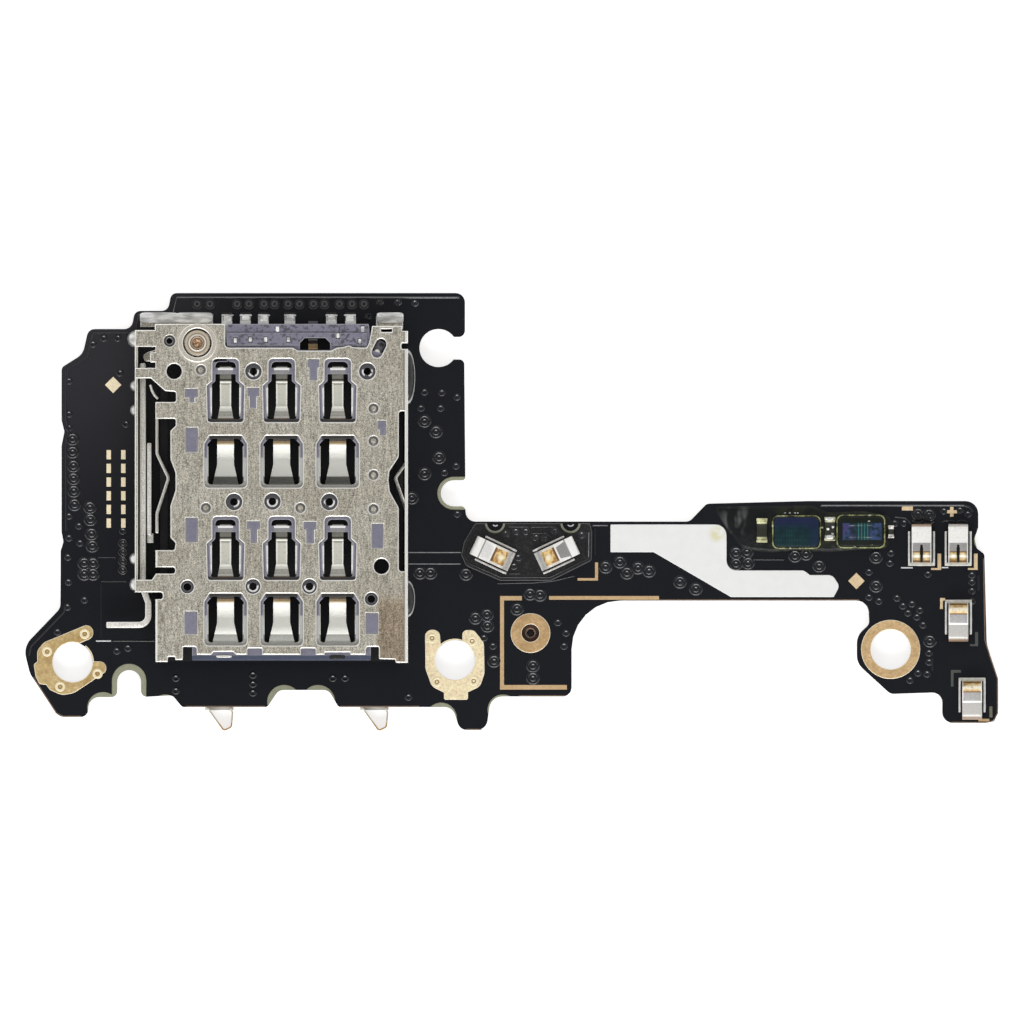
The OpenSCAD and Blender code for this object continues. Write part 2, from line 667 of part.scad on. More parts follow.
// Open holes of the cover
open_holes = [[-half_w + 0.85, 6.23], [half_w - 1.2, -2.6]];
open_hole_r = 0.34;
// Small pierced dimple of the cover beside the rivet
pin_hole = [-half_w + 0.64, 7.61];
pin_ring_r = 0.27;
pin_hole_r = 0.12;
slant_top = [half_w - 1.22, 7.46];
slant_low = [half_w - 1.4, 7.1];
slant_r = 0.24;
// Lead windows in the back of the roof
lead_windows = [[-2.1, 7.64], [-1.42, 7.68], [-0.72, 7.68], [0.3, 7.68], [2.55, 7.85], [3.54, 7.6]];
lead_window = [0.2, 0.28];
recess = [0.83, 7.2, 2.19, 7.74];
recess_chamfer = 0.22;
detect_x = 1.42;
detect_w = 0.42;

roof_corners = [
    [-half_w + 1, 6.7, 0.1], [roof_left, 6.7, 0], [roof_left, back_y, 0.05], [half_w - 1.77, back_y, 0.05],
    [half_w - 1.67, 7.2, 0], [half_w - 1, 7, 0.1], [half_w - 1, 2.3, 0.1], [half_w - 1.02, -6.2, 0.05],
    [half_w - 1.68, -6.2, 0], [half_w - 1.68, -6.86, 0.05], [-half_w + 1.66, -6.86, 0.05],
    [-half_w + 1.66, -6.2, 0], [-half_w + 1.06, -6.2, 0.05]];
detect_path = [[back_y + run_gap + strip_t, roof_z + strip_t / 2, 0], [7.68, roof_z + strip_t / 2, 0.12],
               [7.32, roof_z - 0.28, 0.08], [7.22, roof_z - 0.24, 0]];
module recess_2d(front) {
    polygon([[recess[0], front], [recess[2], front], [recess[2], recess[3] - recess_chamfer],
             [recess[2] - recess_chamfer, recess[3]], [recess[0] + recess_chamfer, recess[3]],
             [recess[0], recess[3] - recess_chamfer]]);
}
module roof_2d() {
    difference() {
        polygon(rounded(roof_corners, 4));
        for (i = [0:5])
            at_contact(i) {
                difference() {
                    window_a(rim_w);
                    rect(-1, 2.53, 1, 2.82);
                }
                window_b(rim_w);
            }
        recess_2d(recess[1]);
        for (h = open_holes)
            translate(h)
                circle(open_hole_r + run_gap);
    }
}
module upper_housing() {
    color("#6b6678")
        at_socket()
            difference() {
                union() {
                    translate([0, 0, roof_z])
                        linear_extrude(roof_t)
                            roof_2d();
                    for (p = plugs)
                        box(p[0], p[1], plate_z - 0.05, p[2], p[3], cover_h - plug_drop);
                    for (b = bosses)
                        translate([b[0], b[1], plate_z - 0.05])
                            cylinder(r = b[2] - seat_gap, h = 0.05 + sheet_t - plug_drop);
                    difference() {
                        box(roof_left, 7.4, plate_z - 0.05, half_w - 1.86, 7.98, cover_h - 0.06);
                        linear_extrude(4)
                            recess_2d(7);
                    }
                }
                for (b = bosses)
                    translate([b[0], b[1], cover_h - plug_drop - boss_hole_depth])
                        cylinder(r = boss_hole, h = 1);
                for (w = lead_windows)
                    box(w[0] - lead_window[0] / 2, w[1] - lead_window[1] / 2, roof_z + strip_t / 2,
                        w[0] + lead_window[0] / 2, w[1] + lead_window[1] / 2, 4);
                for (i = [0:5])
                    translate([0, 0, roof_z - 1])
                        linear_extrude(1 + strip_t + seat_gap)
                            upper_frame_2d(i, seat_gap);
                box(detect_x - detect_w / 2 - seat_gap, 7.5, roof_z - 1, detect_x + detect_w / 2 + seat_gap, 9,
                    roof_z + strip_t + seat_gap);
            }
}
module detect_spring() {
    tail_y = back_y + run_gap;
    color("#d8b765")
        at_socket() {
            rotate([90, 0, 90])
                translate([0, 0, detect_x - detect_w / 2])
                    linear_extrude(detect_w)
                        polygon(strip(bent(detect_path), strip_t));
            box(detect_x - detect_w / 2, tail_y, 0, detect_x + detect_w / 2, tail_y + strip_t,
                roof_z + strip_t);
        }
}

// Cover, folded from one sheet
cover_corners = [
    [-half_w - 0.02, back_y, 0], [back_left, back_y, 0], [back_left, 7.31, 0.18], [0.51, 7.31, 0.05],
    [0.74, 7.18, 0.05], [2.23, 7.18, 0.05], [2.5, 7.31, 0.05], [2.82, 7.35, 0], [3.05, 7.42, 0.05],
    [3.23, 7.33, 0], [half_w - 1.88, 7.31, 0.12], [half_w - 1.77, 7.52, 0.05],
    [half_w - 1.68, 7.97, 0], [half_w - 1.63, 8.29, 0.05],
    [half_w - 1.22, 8.29, 0], [half_w - 1.22, 8.02, 0.04], [half_w - 0.72, 8.02, 0.04],
    [half_w - 0.72, 8.29, 0], [half_w - 0.27, 8.29, 0.05], [half_w - 0.27, 8.06, 0], [half_w, 8.06, 0],
    [half_w, 7.5, 0], [half_w - 0.3, 7.5, 0.08], [half_w - 0.3, 7.25, 0.08], [half_w, 7.25, 0],
    [half_w, -6.97, 0.05], [half_w - 0.55, -6.97, 0.05], [half_w - 0.59, -6.82, 0],
    [half_w - 1.32, -6.8, 0.05], [half_w - 1.32, -6.25, 0.05], [half_w - 1.9, -6.25, 0.1],
    [half_w - 1.9, -6.61, 0.05],
    [3.09, -6.61, 0.03], [3.09, -6.5, 0.03], [1.96, -6.5, 0.03], [1.96, -6.61, 0.03],
    [1.53, -6.61, 0.03], [1.53, -6.32, 0.06], [0.87, -6.32, 0.06], [0.87, -6.61, 0.03],
    [-0.9, -6.61, 0.03], [-0.9, -6.32, 0.06], [-1.55, -6.32, 0.06], [-1.55, -6.61, 0.03],
    [-2.07, -6.61, 0.03], [-2.2, -6.48, 0.03], [-3.07, -6.48, 0.03], [-3.2, -6.61, 0.03],
    [-half_w + 1.86, -6.61, 0.05], [-half_w + 1.86, -6.25, 0.1], [-half_w + 1.25, -6.25, 0.05],
    [-half_w + 1.25, -6.84, 0.05], [-half_w + 0.89, -6.84, 0], [-half_w + 0.89, -6.7, 0.05],
    [-half_w + 0.57, -6.7, 0.05], [-half_w + 0.57, -6.93, 0.03], [-half_w, -6.93, 0.03],
    [-half_w, -4.08, 0.04], [-half_w + 0.34, -4.08, 0.12], [-half_w + 0.34, tab_front, 0.12],
    [outer_wall_x, tab_front, 0.03], [outer_wall_x, -3.2, 0.03], [-half_w - 0.16, -3.2, 0.05],
    [-half_w, -2.97, 0], [-half_w, -2.92, 0], [-half_w + 0.89, -2.92, 0.1], [-half_w + 0.89, -2.65, 0.1],
    [-half_w, -2.65, 0], [-half_w, -1.86, 0.03], [-half_w + 0.87, -1.86, 0.1],
    [-half_w + 0.91, -1.55, 0.1], [-half_w + 0.68, -1.3, 0.1], [-half_w + 0.68, 0.15, 0.3],
    [-half_w + 0.91, 0.85, 0.3], [-half_w + 0.91, 1.63, 0.3], [-half_w + 0.68, 2.25, 0.3],
    [-half_w + 0.68, 3.55, 0.15], [-half_w + 0.92, 3.78, 0.1], [-half_w + 0.92, 4.08, 0.1],
    [-half_w, 4.08, 0.03], [-half_w, 4.85, 0.03], [-half_w + 0.93, 4.85, 0.1], [-half_w + 0.93, 5.3, 0.1],
    [-half_w + 0.44, 5.33, 0.1], [-half_w - 0.2, 5.91, 0.08], [outer_wall_x, 5.91, 0.03],
    [outer_wall_x, 6.39, 0.03], [-half_w, 6.39, 0], [-half_w, 6.63, 0], [-half_w - 0.24, 6.63, 0.04],
    [-half_w - 0.24, 7.1, 0.04], [-half_w, 7.1, 0], [-half_w, 7.34, 0], [outer_wall_x, 7.34, 0.03],
    [outer_wall_x, tab_back, 0.03], [-half_w - 0.02, tab_back, 0]];
right_slot = [
    [wall_in, 4.42, 0], [half_w - 0.41, 4.42, 0.12], [half_w - 0.41, 2.35, 0.3], [half_w - 0.84, 1.7, 0.3],
    [half_w - 0.88, 1.3, 0], [half_w - 0.82, 0.8, 0.3], [half_w - 0.41, 0.05, 0.3],
    [half_w - 0.41, -2.82, 0.12], [wall_in, -2.82, 0]];
crown_r = 0.88;
crown_h = 0.07;
crown_hole = rivet_r + 0.07;
module cover_2d() {
    difference() {
        polygon(rounded(cover_corners, 4));
        polygon(rounded(right_slot, 4));
        for (i = [0:5])
            at_contact(i) {
                window_a(0);
                window_b(0);
            }
        for (p = plugs)
            rect(p[0], p[1], p[2], p[3], seat_gap);
    }
}

// Side springs of the cover, pressed in to hold the tray: paths in the plan
left_spring = [[-half_w + sheet_t / 2, 4.2, 0], [-half_w + sheet_t / 2, 2.5, 0.6],
               [-half_w + 0.6, 1.4, 0.3], [-half_w + sheet_t / 2, -0.2, 0.6], [-half_w + sheet_t / 2, -1.1, 0]];
right_spring = [[half_w - sheet_t / 2, 2.3, 0], [half_w - sheet_t / 2, 2.1, 0.1], [half_w - 0.58, 1.4, 0.2],
                [half_w - sheet_t / 2, -0.05, 0.1], [half_w - sheet_t / 2, -0.25, 0]];
spring_low = 0.75;
spring_top = 1.65;
foot_w = 0.44;
module socket_cover() {
    color("#b4ab9c")
        at_socket()
            difference() {
                union() {
                    translate([0, 0, plate_z])
                        linear_extrude(sheet_t)
                            cover_2d();
                    translate([pivot[0], pivot[1], plate_z])
                        cylinder(r = crown_r, h = sheet_t + crown_h);
                    difference() {
                        box(wall_in, -6.97, 0, half_w, 7.25, cover_h);
                        box(0, 0, spring_low - 0.08, 9, 2.05, spring_top + 0.08);
                    }
                    box(wall_in, 7.5, 0.6, half_w, 8.06, cover_h);
                    box(-half_w, -6.93, 0, -wall_in, -4.08, cover_h);
                    box(-half_w, -2.65, 0.1, -wall_in, -1.86, cover_h);
                    box(-half_w, 4.08, 0.1, -wall_in, 4.85, cover_h);
                    box(outer_wall_x, tab_front, 0, outer_wall_x + sheet_t, tab_back, cover_h - 0.3);
                    box(outer_wall_x, tab_front, 1, outer_wall_x + sheet_t, -3.2, cover_h);
                    box(outer_wall_x, 5.91, 1, outer_wall_x + sheet_t, 6.39, cover_h);
                    box(outer_wall_x, 7.34, 1, outer_wall_x + sheet_t, tab_back, cover_h);
                    box(-half_w, back_y - sheet_t, 0, pivot[0] + 0.72, back_y, cover_h);
                    box(-half_w - 0.68, back_y - sheet_t, 0, pivot[0] + 0.72, back_y + foot_w, sheet_t);
                    box(half_w - 1.45, 8.29 - sheet_t, 0, half_w - 0.27, 8.29, plate_z + sheet_t / 2);
                    box(half_w - 1.45, 8.29 - sheet_t, 0, half_w - 0.22, 8.29 + foot_w, sheet_t);
                    translate([0, 0, spring_low])
                        linear_extrude(spring_top - spring_low) {
                            polygon(strip(bent(left_spring), sheet_t));
                            polygon(strip(bent(right_spring), sheet_t));
                        }
                }
                translate([pivot[0], pivot[1], plate_z - 1])
                    cylinder(r = crown_hole, h = 4);
                for (b = bosses)
                    translate([b[0], b[1], plate_z - 0.1])
                        cylinder(r = b[2], h = 2);
                for (d = dimples)
                    translate([d[0], d[1], cover_h - dimple_depth])
                        cylinder(r = dimple_r, h = 1);
                for (h = open_holes)
                    translate([h[0], h[1], plate_z - 0.1])
                        cylinder(r = open_hole_r, h = 2);
                translate([pin_hole[0], pin_hole[1], cover_h - dimple_depth])
                    cylinder(r = pin_ring_r, h = 1);
                translate([pin_hole[0], pin_hole[1], plate_z - 0.1])
                    cylinder(r = pin_hole_r, h = 2);
                for (p = [slant_top, slant_low])
                    translate([p[0], p[1], plate_z - 0.1])
                        cylinder(r = slant_r, h = 2);
                translate([slant_low[0], slant_low[1], plate_z - 0.1])
                    rotate(heading(slant_low, slant_top))
                        translate([0, -slant_r, 0])
                            cube([norm(slant_top - slant_low), 2 * slant_r, 2]);
            }
}

// Ejector
rivet_top = cover_h + 0.05;
module lever_rivet() {
    color("#a58a6c")
        at_socket()
            translate([pivot[0], pivot[1], 0])
                difference() {
                    union() {
                        cylinder(r = pin_r, h = lever_z + lever_t + run_gap + 0.01);
                        translate([0, 0, lever_z + lever_t + run_gap])
                            cylinder(r = rivet_r, h = rivet_top - 0.06 - lever_z - lever_t - run_gap);
                        cylinder(r = 0.36, h = rivet_top);
                    }
                    translate([0, 0, rivet_top - 0.15])
                        cylinder(r = 0.25, h = 1);
                }
}
arm_w = 0.44;
module eject_lever() {
    color("#b9b3a8")
        at_socket()
            translate([pivot[0], pivot[1], lever_z])
                difference() {
                    union() {
                        cylinder(r = hub_r, h = lever_t);
                        rotate(180 + short_arm_deg)
                            translate([0, -arm_w / 2, 0])
                                cube([short_arm, arm_w, lever_t]);
                        rotate(180 + short_arm_deg)
                            translate([short_arm, 0, 0])
                                cylinder(r = nose_r, h = lever_t);
                        translate([0, -arm_w / 2, 0])
                            cube([long_arm, arm_w, lever_t]);
                        translate([long_arm, -0.05, 0])
                            cylinder(r = 0.27, h = lever_t);
                    }
                    translate([0, 0, -1])
                        cylinder(r = pin_r + run_gap, h = 3);
                }
}
rod_x = outer_wall_x + sheet_t + 0.07 + rod_t / 2;
rod_z = lever_z + lever_t / 2 - rod_h / 2 - 0.08;
foot_reach = 1.65;
nose_y = pivot[1] - short_arm * sin(short_arm_deg);
rod_top = nose_y - max(nose_r, arm_w / 2) - run_gap - 0.02;
module push_rod() {
    color("#b9b3a8")
        at_socket()
            translate([0, 0, rod_z])
                linear_extrude(rod_h)
                    polygon(strip(bent([[rod_x, rod_top, 0], [rod_x, -3.55, 0.3], [rod_x + 0.25, -4.25, 0.3],
                                        [rod_x + 0.25, -5.25, 0.42], [rod_x - foot_reach, -5.25, 0]]), rod_t));
}
guide_x = rod_x + rod_t / 2 + 0.05;
module rod_guide() {
    color("#cfcac0")
        at_socket() {
            box(guide_x, -1.18, 0, guide_x + 0.2, 2.99, 1.2);
            box(guide_x, -1.54, 0, guide_x + 0.3, -1.1, 0.9);
        }
}

// Solder at the feet of the cover: [x of the wall, side, y0, y1, radius]
joints = [[half_w, 1, 4.76, 7.2, 0.3], [half_w, 1, -4.89, -3.26, 0.3], [outer_wall_x, -1, 5.35, 5.8, 0.2],
          [outer_wall_x, -1, 4.25, 4.7, 0.2], [outer_wall_x, -1, -2.5, -2, 0.22],
          [outer_wall_x, -1, -3.7, -3.15, 0.22], [outer_wall_x, -1, 7.34, 8.06, 0.32]];
module solder_joints() {
    color("#c4c4c2")
        at_socket()
            for (j = joints)
                translate([j[0], j[2], 0])
                    intersection() {
                        rotate([-90, 0, 0])
                            cylinder(r = j[4], h = j[3] - j[2]);
                        translate([j[1] > 0 ? 0 : -1, 0, 0])
                            cube([1, 9, 1]);
                    }
}

circuit_board();
solder_mask();
left_screw_pad();
centre_screw_pad();
right_screw_pad();
mic_port_pad();
gold_marks();
ground_plate();
clip_insulator();
mic_clip(0);  // mic_clip_left
mic_clip(1);  // mic_clip_right
antenna_clip(0);  // antenna_clip_1
antenna_clip(1);  // antenna_clip_2
antenna_clip(2);  // antenna_clip_3
antenna_clip(3);  // antenna_clip_4
potting_resin();
filter_chip(0);  // filter_chip_left
filter_chip(1);  // filter_chip_right
chip_capacitor(0);  // chip_capacitor_1
chip_capacitor(1);  // chip_capacitor_2
chip_capacitor(2);  // chip_capacitor_3
ground_finger(0);  // ground_finger_left
ground_finger(1);  // ground_finger_right
lower_housing();
lower_contact(0);  // lower_contact_1
lower_contact(1);  // lower_contact_2
lower_contact(2);  // lower_contact_3
lower_contact(3);  // lower_contact_4
lower_contact(4);  // lower_contact_5
lower_contact(5);  // lower_contact_6
upper_housing();
upper_contact(0);  // upper_contact_1
upper_contact(1);  // upper_contact_2
upper_contact(2);  // upper_contact_3
upper_contact(3);  // upper_contact_4
upper_contact(4);  // upper_contact_5
upper_contact(5);  // upper_contact_6
detect_spring();
socket_cover();
lever_rivet();
eject_lever();
push_rod();
rod_guide();
solder_joints();
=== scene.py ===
"""Looks of the SIM reader board: softened copies of the stamped and moulded pieces, the raised
details of the mask, solder, resin, procedural finishes, and a plain pale stage."""
import math
import random

import bmesh
import bpy
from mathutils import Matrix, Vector


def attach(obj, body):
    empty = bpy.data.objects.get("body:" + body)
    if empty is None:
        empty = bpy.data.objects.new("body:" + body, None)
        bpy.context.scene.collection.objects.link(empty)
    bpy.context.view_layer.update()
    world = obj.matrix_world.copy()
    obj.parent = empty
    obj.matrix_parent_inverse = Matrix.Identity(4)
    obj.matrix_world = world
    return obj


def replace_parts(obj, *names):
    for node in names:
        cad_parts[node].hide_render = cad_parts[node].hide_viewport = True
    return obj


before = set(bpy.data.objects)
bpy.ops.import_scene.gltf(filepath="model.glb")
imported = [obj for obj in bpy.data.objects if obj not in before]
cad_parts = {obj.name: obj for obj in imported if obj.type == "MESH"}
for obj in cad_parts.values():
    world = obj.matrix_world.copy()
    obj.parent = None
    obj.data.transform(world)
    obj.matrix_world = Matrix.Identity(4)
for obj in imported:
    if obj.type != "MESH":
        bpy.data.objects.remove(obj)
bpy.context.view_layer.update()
random.seed(7)

# Places and sizes, in millimetres where no other unit is given

MM = 0.001
MM_PER_M = 1000.0
BOARD_TOP = 0.70
SEAT = 0.73
FILM = SEAT + 0.1
COVER_TOP = 3.03
SOCKET = (-7.85, 6.84)
PIVOT = (-11.67, 14.36)
COLUMN_PITCH = 2.545
ROW_OFFSET = 3.575
CONTACTS = [(SOCKET[0] + column * COLUMN_PITCH, SOCKET[1] + row * ROW_OFFSET)
            for row in (1, -1) for column in (-1, 0, 1)]
MIC_PORT = (3.42, 1.22)
LEFT_HOLE = (-17.32, -0.1)
CHIPS = ((15.47, 5.79), (18.38, 5.82))
HALF_W = 5.72
FOLD = SOCKET[0] + HALF_W
PIN_HOLE = (SOCKET[0] - HALF_W + 0.64, SOCKET[1] + 7.61)
BOSSES = ((-1.28, 6.23, 0.36), (HALF_W - 1.84, 6.23, 0.36), (-2.16, 0.32, 0.36), (-0.42, 0.34, 0.36),
          (2.16, 0.32, 0.36), (-1.3, -3.51, 0.32), (1.26, -3.51, 0.32), (-HALF_W + 1.45, -3.53, 0.28),
          (HALF_W - 1.66, -4.08, 0.28))
DIMPLES = [(SOCKET[0] + x, SOCKET[1] + y) for x, y in (
    (-HALF_W + 2.06, 6.3), (-3.43, 0.05), (0.85, 0.05), (HALF_W - 1.56, 4.55), (HALF_W - 1.56, 3.08),
    (HALF_W - 1.56, 1.54), (HALF_W - 1.56, 0.0))]
LEVEL = 0.999  # least upward part of the normal of a level face
WELD = 4e-7  # metres
BLACK = (0.0, 0.0, 0.0)

# Shader sums


def feed(tree, socket, value):
    """Links a field to a socket, or sets the socket to a constant."""
    if isinstance(value, Field):
        tree.links.new(value.socket, socket)
    elif isinstance(value, (tuple, list)) and len(value) == 3 and socket.type == "RGBA":
        socket.default_value = (*value, 1.0)
    else:
        socket.default_value = value


def add_node(tree, kind, inputs, out=0, **settings):
    """Adds a node, sets it up, fills its sockets, and returns one of its outputs as a field."""
    made = tree.nodes.new(kind)
    for key, value in settings.items():
        setattr(made, key, value)
    for key, value in inputs.items():
        feed(tree, made.inputs[key], value)
    return Field(tree, made.outputs[out])


class Field:
    """A socket of a node tree that takes part in sums with numbers and other fields."""

    def __init__(self, tree, socket):
        self.tree = tree
        self.socket = socket

    def node(self, kind, inputs, out=0, **settings):
        return add_node(self.tree, kind, inputs, out, **settings)

    def sum(self, operation, *values):
        return self.node("ShaderNodeMath", dict(enumerate(values)), operation=operation)

    def __add__(self, other):
        return self.sum("ADD", self, other)

    def __radd__(self, other):
        return self.sum("ADD", other, self)

    def __sub__(self, other):
        return self.sum("SUBTRACT", self, other)

    def __rsub__(self, other):
        return self.sum("SUBTRACT", other, self)

    def __mul__(self, other):
        return self.sum("MULTIPLY", self, other)

    def __rmul__(self, other):
        return self.sum("MULTIPLY", other, self)

    def __abs__(self):
        return self.sum("ABSOLUTE", self)

    def above(self, edge, soft=0.0):
        """1 where the field is above edge, 0 below, with a soft step of that width."""
        if not soft:
            return self.sum("GREATER_THAN", self, edge)
        ends = {1: edge - soft / 2, 2: edge + soft / 2, 3: 0.0, 4: 1.0}
        return self.node("ShaderNodeMapRange", {0: self, **ends}, interpolation_type="SMOOTHSTEP")

    def below(self, edge, soft=0.0):
        return 1.0 - self.above(edge, soft)

    def between(self, low, high, soft=0.0):
        return self.above(low, soft) * self.below(high, soft)

    def least(self, other):
        return self.sum("MINIMUM", self, other)

    def most(self, other):
        return self.sum("MAXIMUM", self, other)

    def sine(self):
        return self.sum("SINE", self)

    def root(self):
        return self.sum("SQRT", self)

    def mix(self, low, high):
        """Colour low where the field is 0 and high where it is 1."""
        return self.node("ShaderNodeMix", {0: self, 6: low, 7: high}, out=2, data_type="RGBA")


class Skin:
    """A material under way: its places in millimetres, its noises and its shader."""

    def __init__(self, name):
        self.material = bpy.data.materials.new(name)
        self.material.use_nodes = True
        self.tree = self.material.node_tree
        self.shader = self.tree.nodes["Principled BSDF"]
        self.metres = add_node(self.tree, "ShaderNodeTexCoord", {}, "Object")
        self.x, self.y, self.z = self.parts(self.place())
        self.turned = self.parts(add_node(self.tree, "ShaderNodeNewGeometry", {}, "Normal"))
        self.facing = self.turned[2]

    def place(self, stretch=(1.0, 1.0, 1.0)):
        """The point of the surface in millimetres, drawn out along each axis."""
        scale = tuple(MM_PER_M * s for s in stretch)
        return self.metres.node("ShaderNodeVectorMath", {0: self.metres, 1: scale}, operation="MULTIPLY")

    def parts(self, vector):
        """The three coordinates of a vector."""
        split = vector.node("ShaderNodeSeparateXYZ", {0: vector}).socket.node
        return [Field(self.tree, s) for s in split.outputs]

    def noise(self, per_mm, detail=3.0, rough=0.55, stretch=(1.0, 1.0, 1.0)):
        """Noise from 0 to 1 with that many lumps per millimetre."""
        place = self.place(stretch)
        return place.node("ShaderNodeTexNoise", {"Vector": place, "Scale": per_mm, "Detail": detail,
                                                 "Roughness": rough}, noise_dimensions="3D")

    def disc(self, x, y, radius, soft=0.05):
        """1 within that radius of a point of the plan."""
        return self.reach(x, y).below(radius, soft)

    def reach(self, x, y):
        """Distance from a point of the plan."""
        dx = self.x - x
        dy = self.y - y
        return (dx * dx + dy * dy).root()

    def relief(self, height, depth_mm):
        """Bump from a field of 0 to 1, as deep as said."""
        sockets = {"Height": height, "Distance": depth_mm * MM, "Strength": 1.0}
        return height.node("ShaderNodeBump", sockets)

    def finish(self, color, roughness, metallic=0.0, normal=None, **others):
        """Feeds the shader and hands out the material. Other sockets go by name, with _ for spaces."""
        feed(self.tree, self.shader.inputs["Base Color"], color)
        feed(self.tree, self.shader.inputs["Roughness"], roughness)
        feed(self.tree, self.shader.inputs["Metallic"], metallic)
        if normal is not None:
            feed(self.tree, self.shader.inputs["Normal"], normal)
        for key, value in others.items():
            feed(self.tree, self.shader.inputs[key.replace("_", " ")], value)
        return self.material


def tone_of(field):
    """The same number in all three channels."""
    return field.node("ShaderNodeCombineXYZ", {0: field, 1: field, 2: field})


def times(color, field):
    """A colour, fixed or varying, made lighter or darker by a field."""
    return field.node("ShaderNodeVectorMath", {0: color, 1: tone_of(field)}, operation="MULTIPLY")


def steel_skin(name, tint, warm, grain=1.0, rough=0.42, metal=0.85, edge=(0.87, 0.86, 0.82)):
    """Stamped stainless sheet: short upright scratches, fine mottling, and painted light: a painted
    highlight on its edges and slopes, on the crown round the pivot, on the fold and round the dimples,
    painted shade beside the fold and inside the dimples.
    """
    s = Skin(name)
    brushed = s.noise(15.0, 2.0, 0.5, (1.0, 0.14, 1.0))
    speck = s.noise(21.0, 2.0, 0.6)
    cloud = s.noise(0.35, 2.0)
    shade = 1.0 + grain * ((brushed - 0.5) * 1.2 + (speck - 0.5) * 2.9)
    tone = cloud.above(0.5, 0.3).mix(tint, warm)
    leg = s.x.between(-3.5, -2.2, 0.35) * s.y.between(-0.6, 2.8, 0.9)
    tone = (leg * 0.8).mix(tone, (0.35, 0.265, 0.175))
    color = times(tone, shade)
    # Painted highlight: a cream ring on the crown round the pivot.
    crown_highlight = s.reach(*PIVOT).between(0.7, 0.98, 0.12)
    color = (crown_highlight * 0.55).mix(color, (0.86, 0.79, 0.67))
    # Painted shade in a thin line beside the fold, then a painted highlight on the fold itself.
    color = (s.x.above(FOLD - 0.2, 0.03) * s.x.below(FOLD - 0.15, 0.03)).mix(color, (0.3, 0.27, 0.22))
    color = s.x.above(FOLD - 0.14, 0.05).mix(color, (0.95, 0.93, 0.88))
    # Painted highlight: edges and slopes turn pale by the way they face.
    color = s.facing.between(0.12, 0.965).mix(color, edge)
    dimple = s.reach(*DIMPLES[0])
    for spot in DIMPLES[1:]:
        dimple = dimple.least(s.reach(*spot))
    # Painted light round each dimple: a pale ring of painted highlight outside, a dark ring of painted
    # shade inside.
    color = (dimple.between(0.23, 0.29, 0.03) * 0.6).mix(color, (0.88, 0.86, 0.82))
    color = (dimple.between(0.12, 0.22, 0.05) * 0.9).mix(color, (0.1, 0.095, 0.09))
    pin = s.reach(*PIN_HOLE)
    color = pin.between(0.1, 0.25, 0.02).mix(color, (0.07, 0.068, 0.075))
    color = pin.between(0.14, 0.18, 0.02).mix(color, (0.26, 0.25, 0.26))
    return s.finish(color, rough + (speck - 0.5) * 0.25, metal, s.relief(brushed + speck, 0.004 * grain))


def mask_skin():
    """Black mask, a little lighter towards the back left corner."""
    s = Skin("black_mask")
    peel = s.noise(5.0, 2.0)
    cloud = s.noise(0.5, 3.0)
    color = cloud.mix((0.003, 0.004, 0.007), (0.006, 0.007, 0.0105))
    pale = (s.x * -0.5 + s.y).above(17.5, 9.0) * s.x.below(-11.0, 4.0)
    color = pale.mix(color, (0.023, 0.022, 0.027))
    return s.finish(color, 0.36 + (peel - 0.5) * 0.12, 0.0, s.relief(peel, 0.004), Specular_IOR_Level=0.22)


def raised_mask_skin(name, sides, gloss):
    """Mask over a ridge: dark, glossy on the slopes that face the front, less so on the others."""
    s = Skin(name)
    peel = s.noise(7.0, 2.0)
    color = peel.mix((0.003, 0.004, 0.007), (0.006, 0.007, 0.0105))
    front = s.turned[1].below(-0.06, 0.08)
    slope = s.facing.between(0.5, 0.985, 0.01) * (front * (1.0 - sides) + sides)
    slope = slope * (s.y.above(15.4) * 0.35 + gloss)
    return s.finish(color, 0.34, 0.0, None, Specular_IOR_Level=0.22, Coat_Weight=slope, Coat_IOR=2.0,
                    Coat_Roughness=0.14)


def line_skin(name, low, high):
    """A thin line of one tone, a little uneven along its length."""
    s = Skin(name)
    grain = s.noise(5.0, 3.0)
    return s.finish(grain.mix(low, high), 0.4 + (grain - 0.5) * 0.2, 0.0, s.relief(grain, 0.003))


def laminate_skin():
    """Bare laminate on top, scorched brown at the cut edges, black mask below."""
    s = Skin("bare_laminate")
    weave = s.noise(6.0, 3.0, 0.6)
    olive = weave.mix((0.24, 0.24, 0.155), (0.38, 0.38, 0.27))
    cut = s.noise(3.0, 3.0, 0.6, (1.0, 1.0, 3.0)).mix((0.06, 0.035, 0.02), (0.22, 0.17, 0.1))
    side = abs(s.facing).below(0.5)
    color = side.mix(olive, cut)
    color = s.disc(*MIC_PORT, 0.42, 0.02).mix(color, (0.075, 0.034, 0.018))
    under = s.facing.below(-0.5)
    color = under.mix(color, (0.005, 0.005, 0.007))
    return s.finish(color, 0.55 + (weave - 0.5) * 0.2, 0.0, s.relief(weave, 0.004))


def gold_skin(name, light, dark, stain=0.5, metal=0.4, edge=(0.95, 0.86, 0.66)):
    """Plated pad: blotched gold with a pale rolled edge, a painted highlight."""
    s = Skin(name)
    blot = s.noise(1.6, 4.0, 0.65)
    grain = s.noise(11.0, 2.0)
    color = blot.above(stain, 0.35).mix(light, dark)
    color = times(color, 0.35 + grain * 0.8 + s.noise(5.0, 3.0) * 0.5)
    # Painted highlight: the rolled edge turns pale by the way it faces.
    color = s.facing.between(0.2, 0.97).mix(color, edge)
    return s.finish(color, 0.36 + blot * 0.15, metal, s.relief(grain, 0.003))


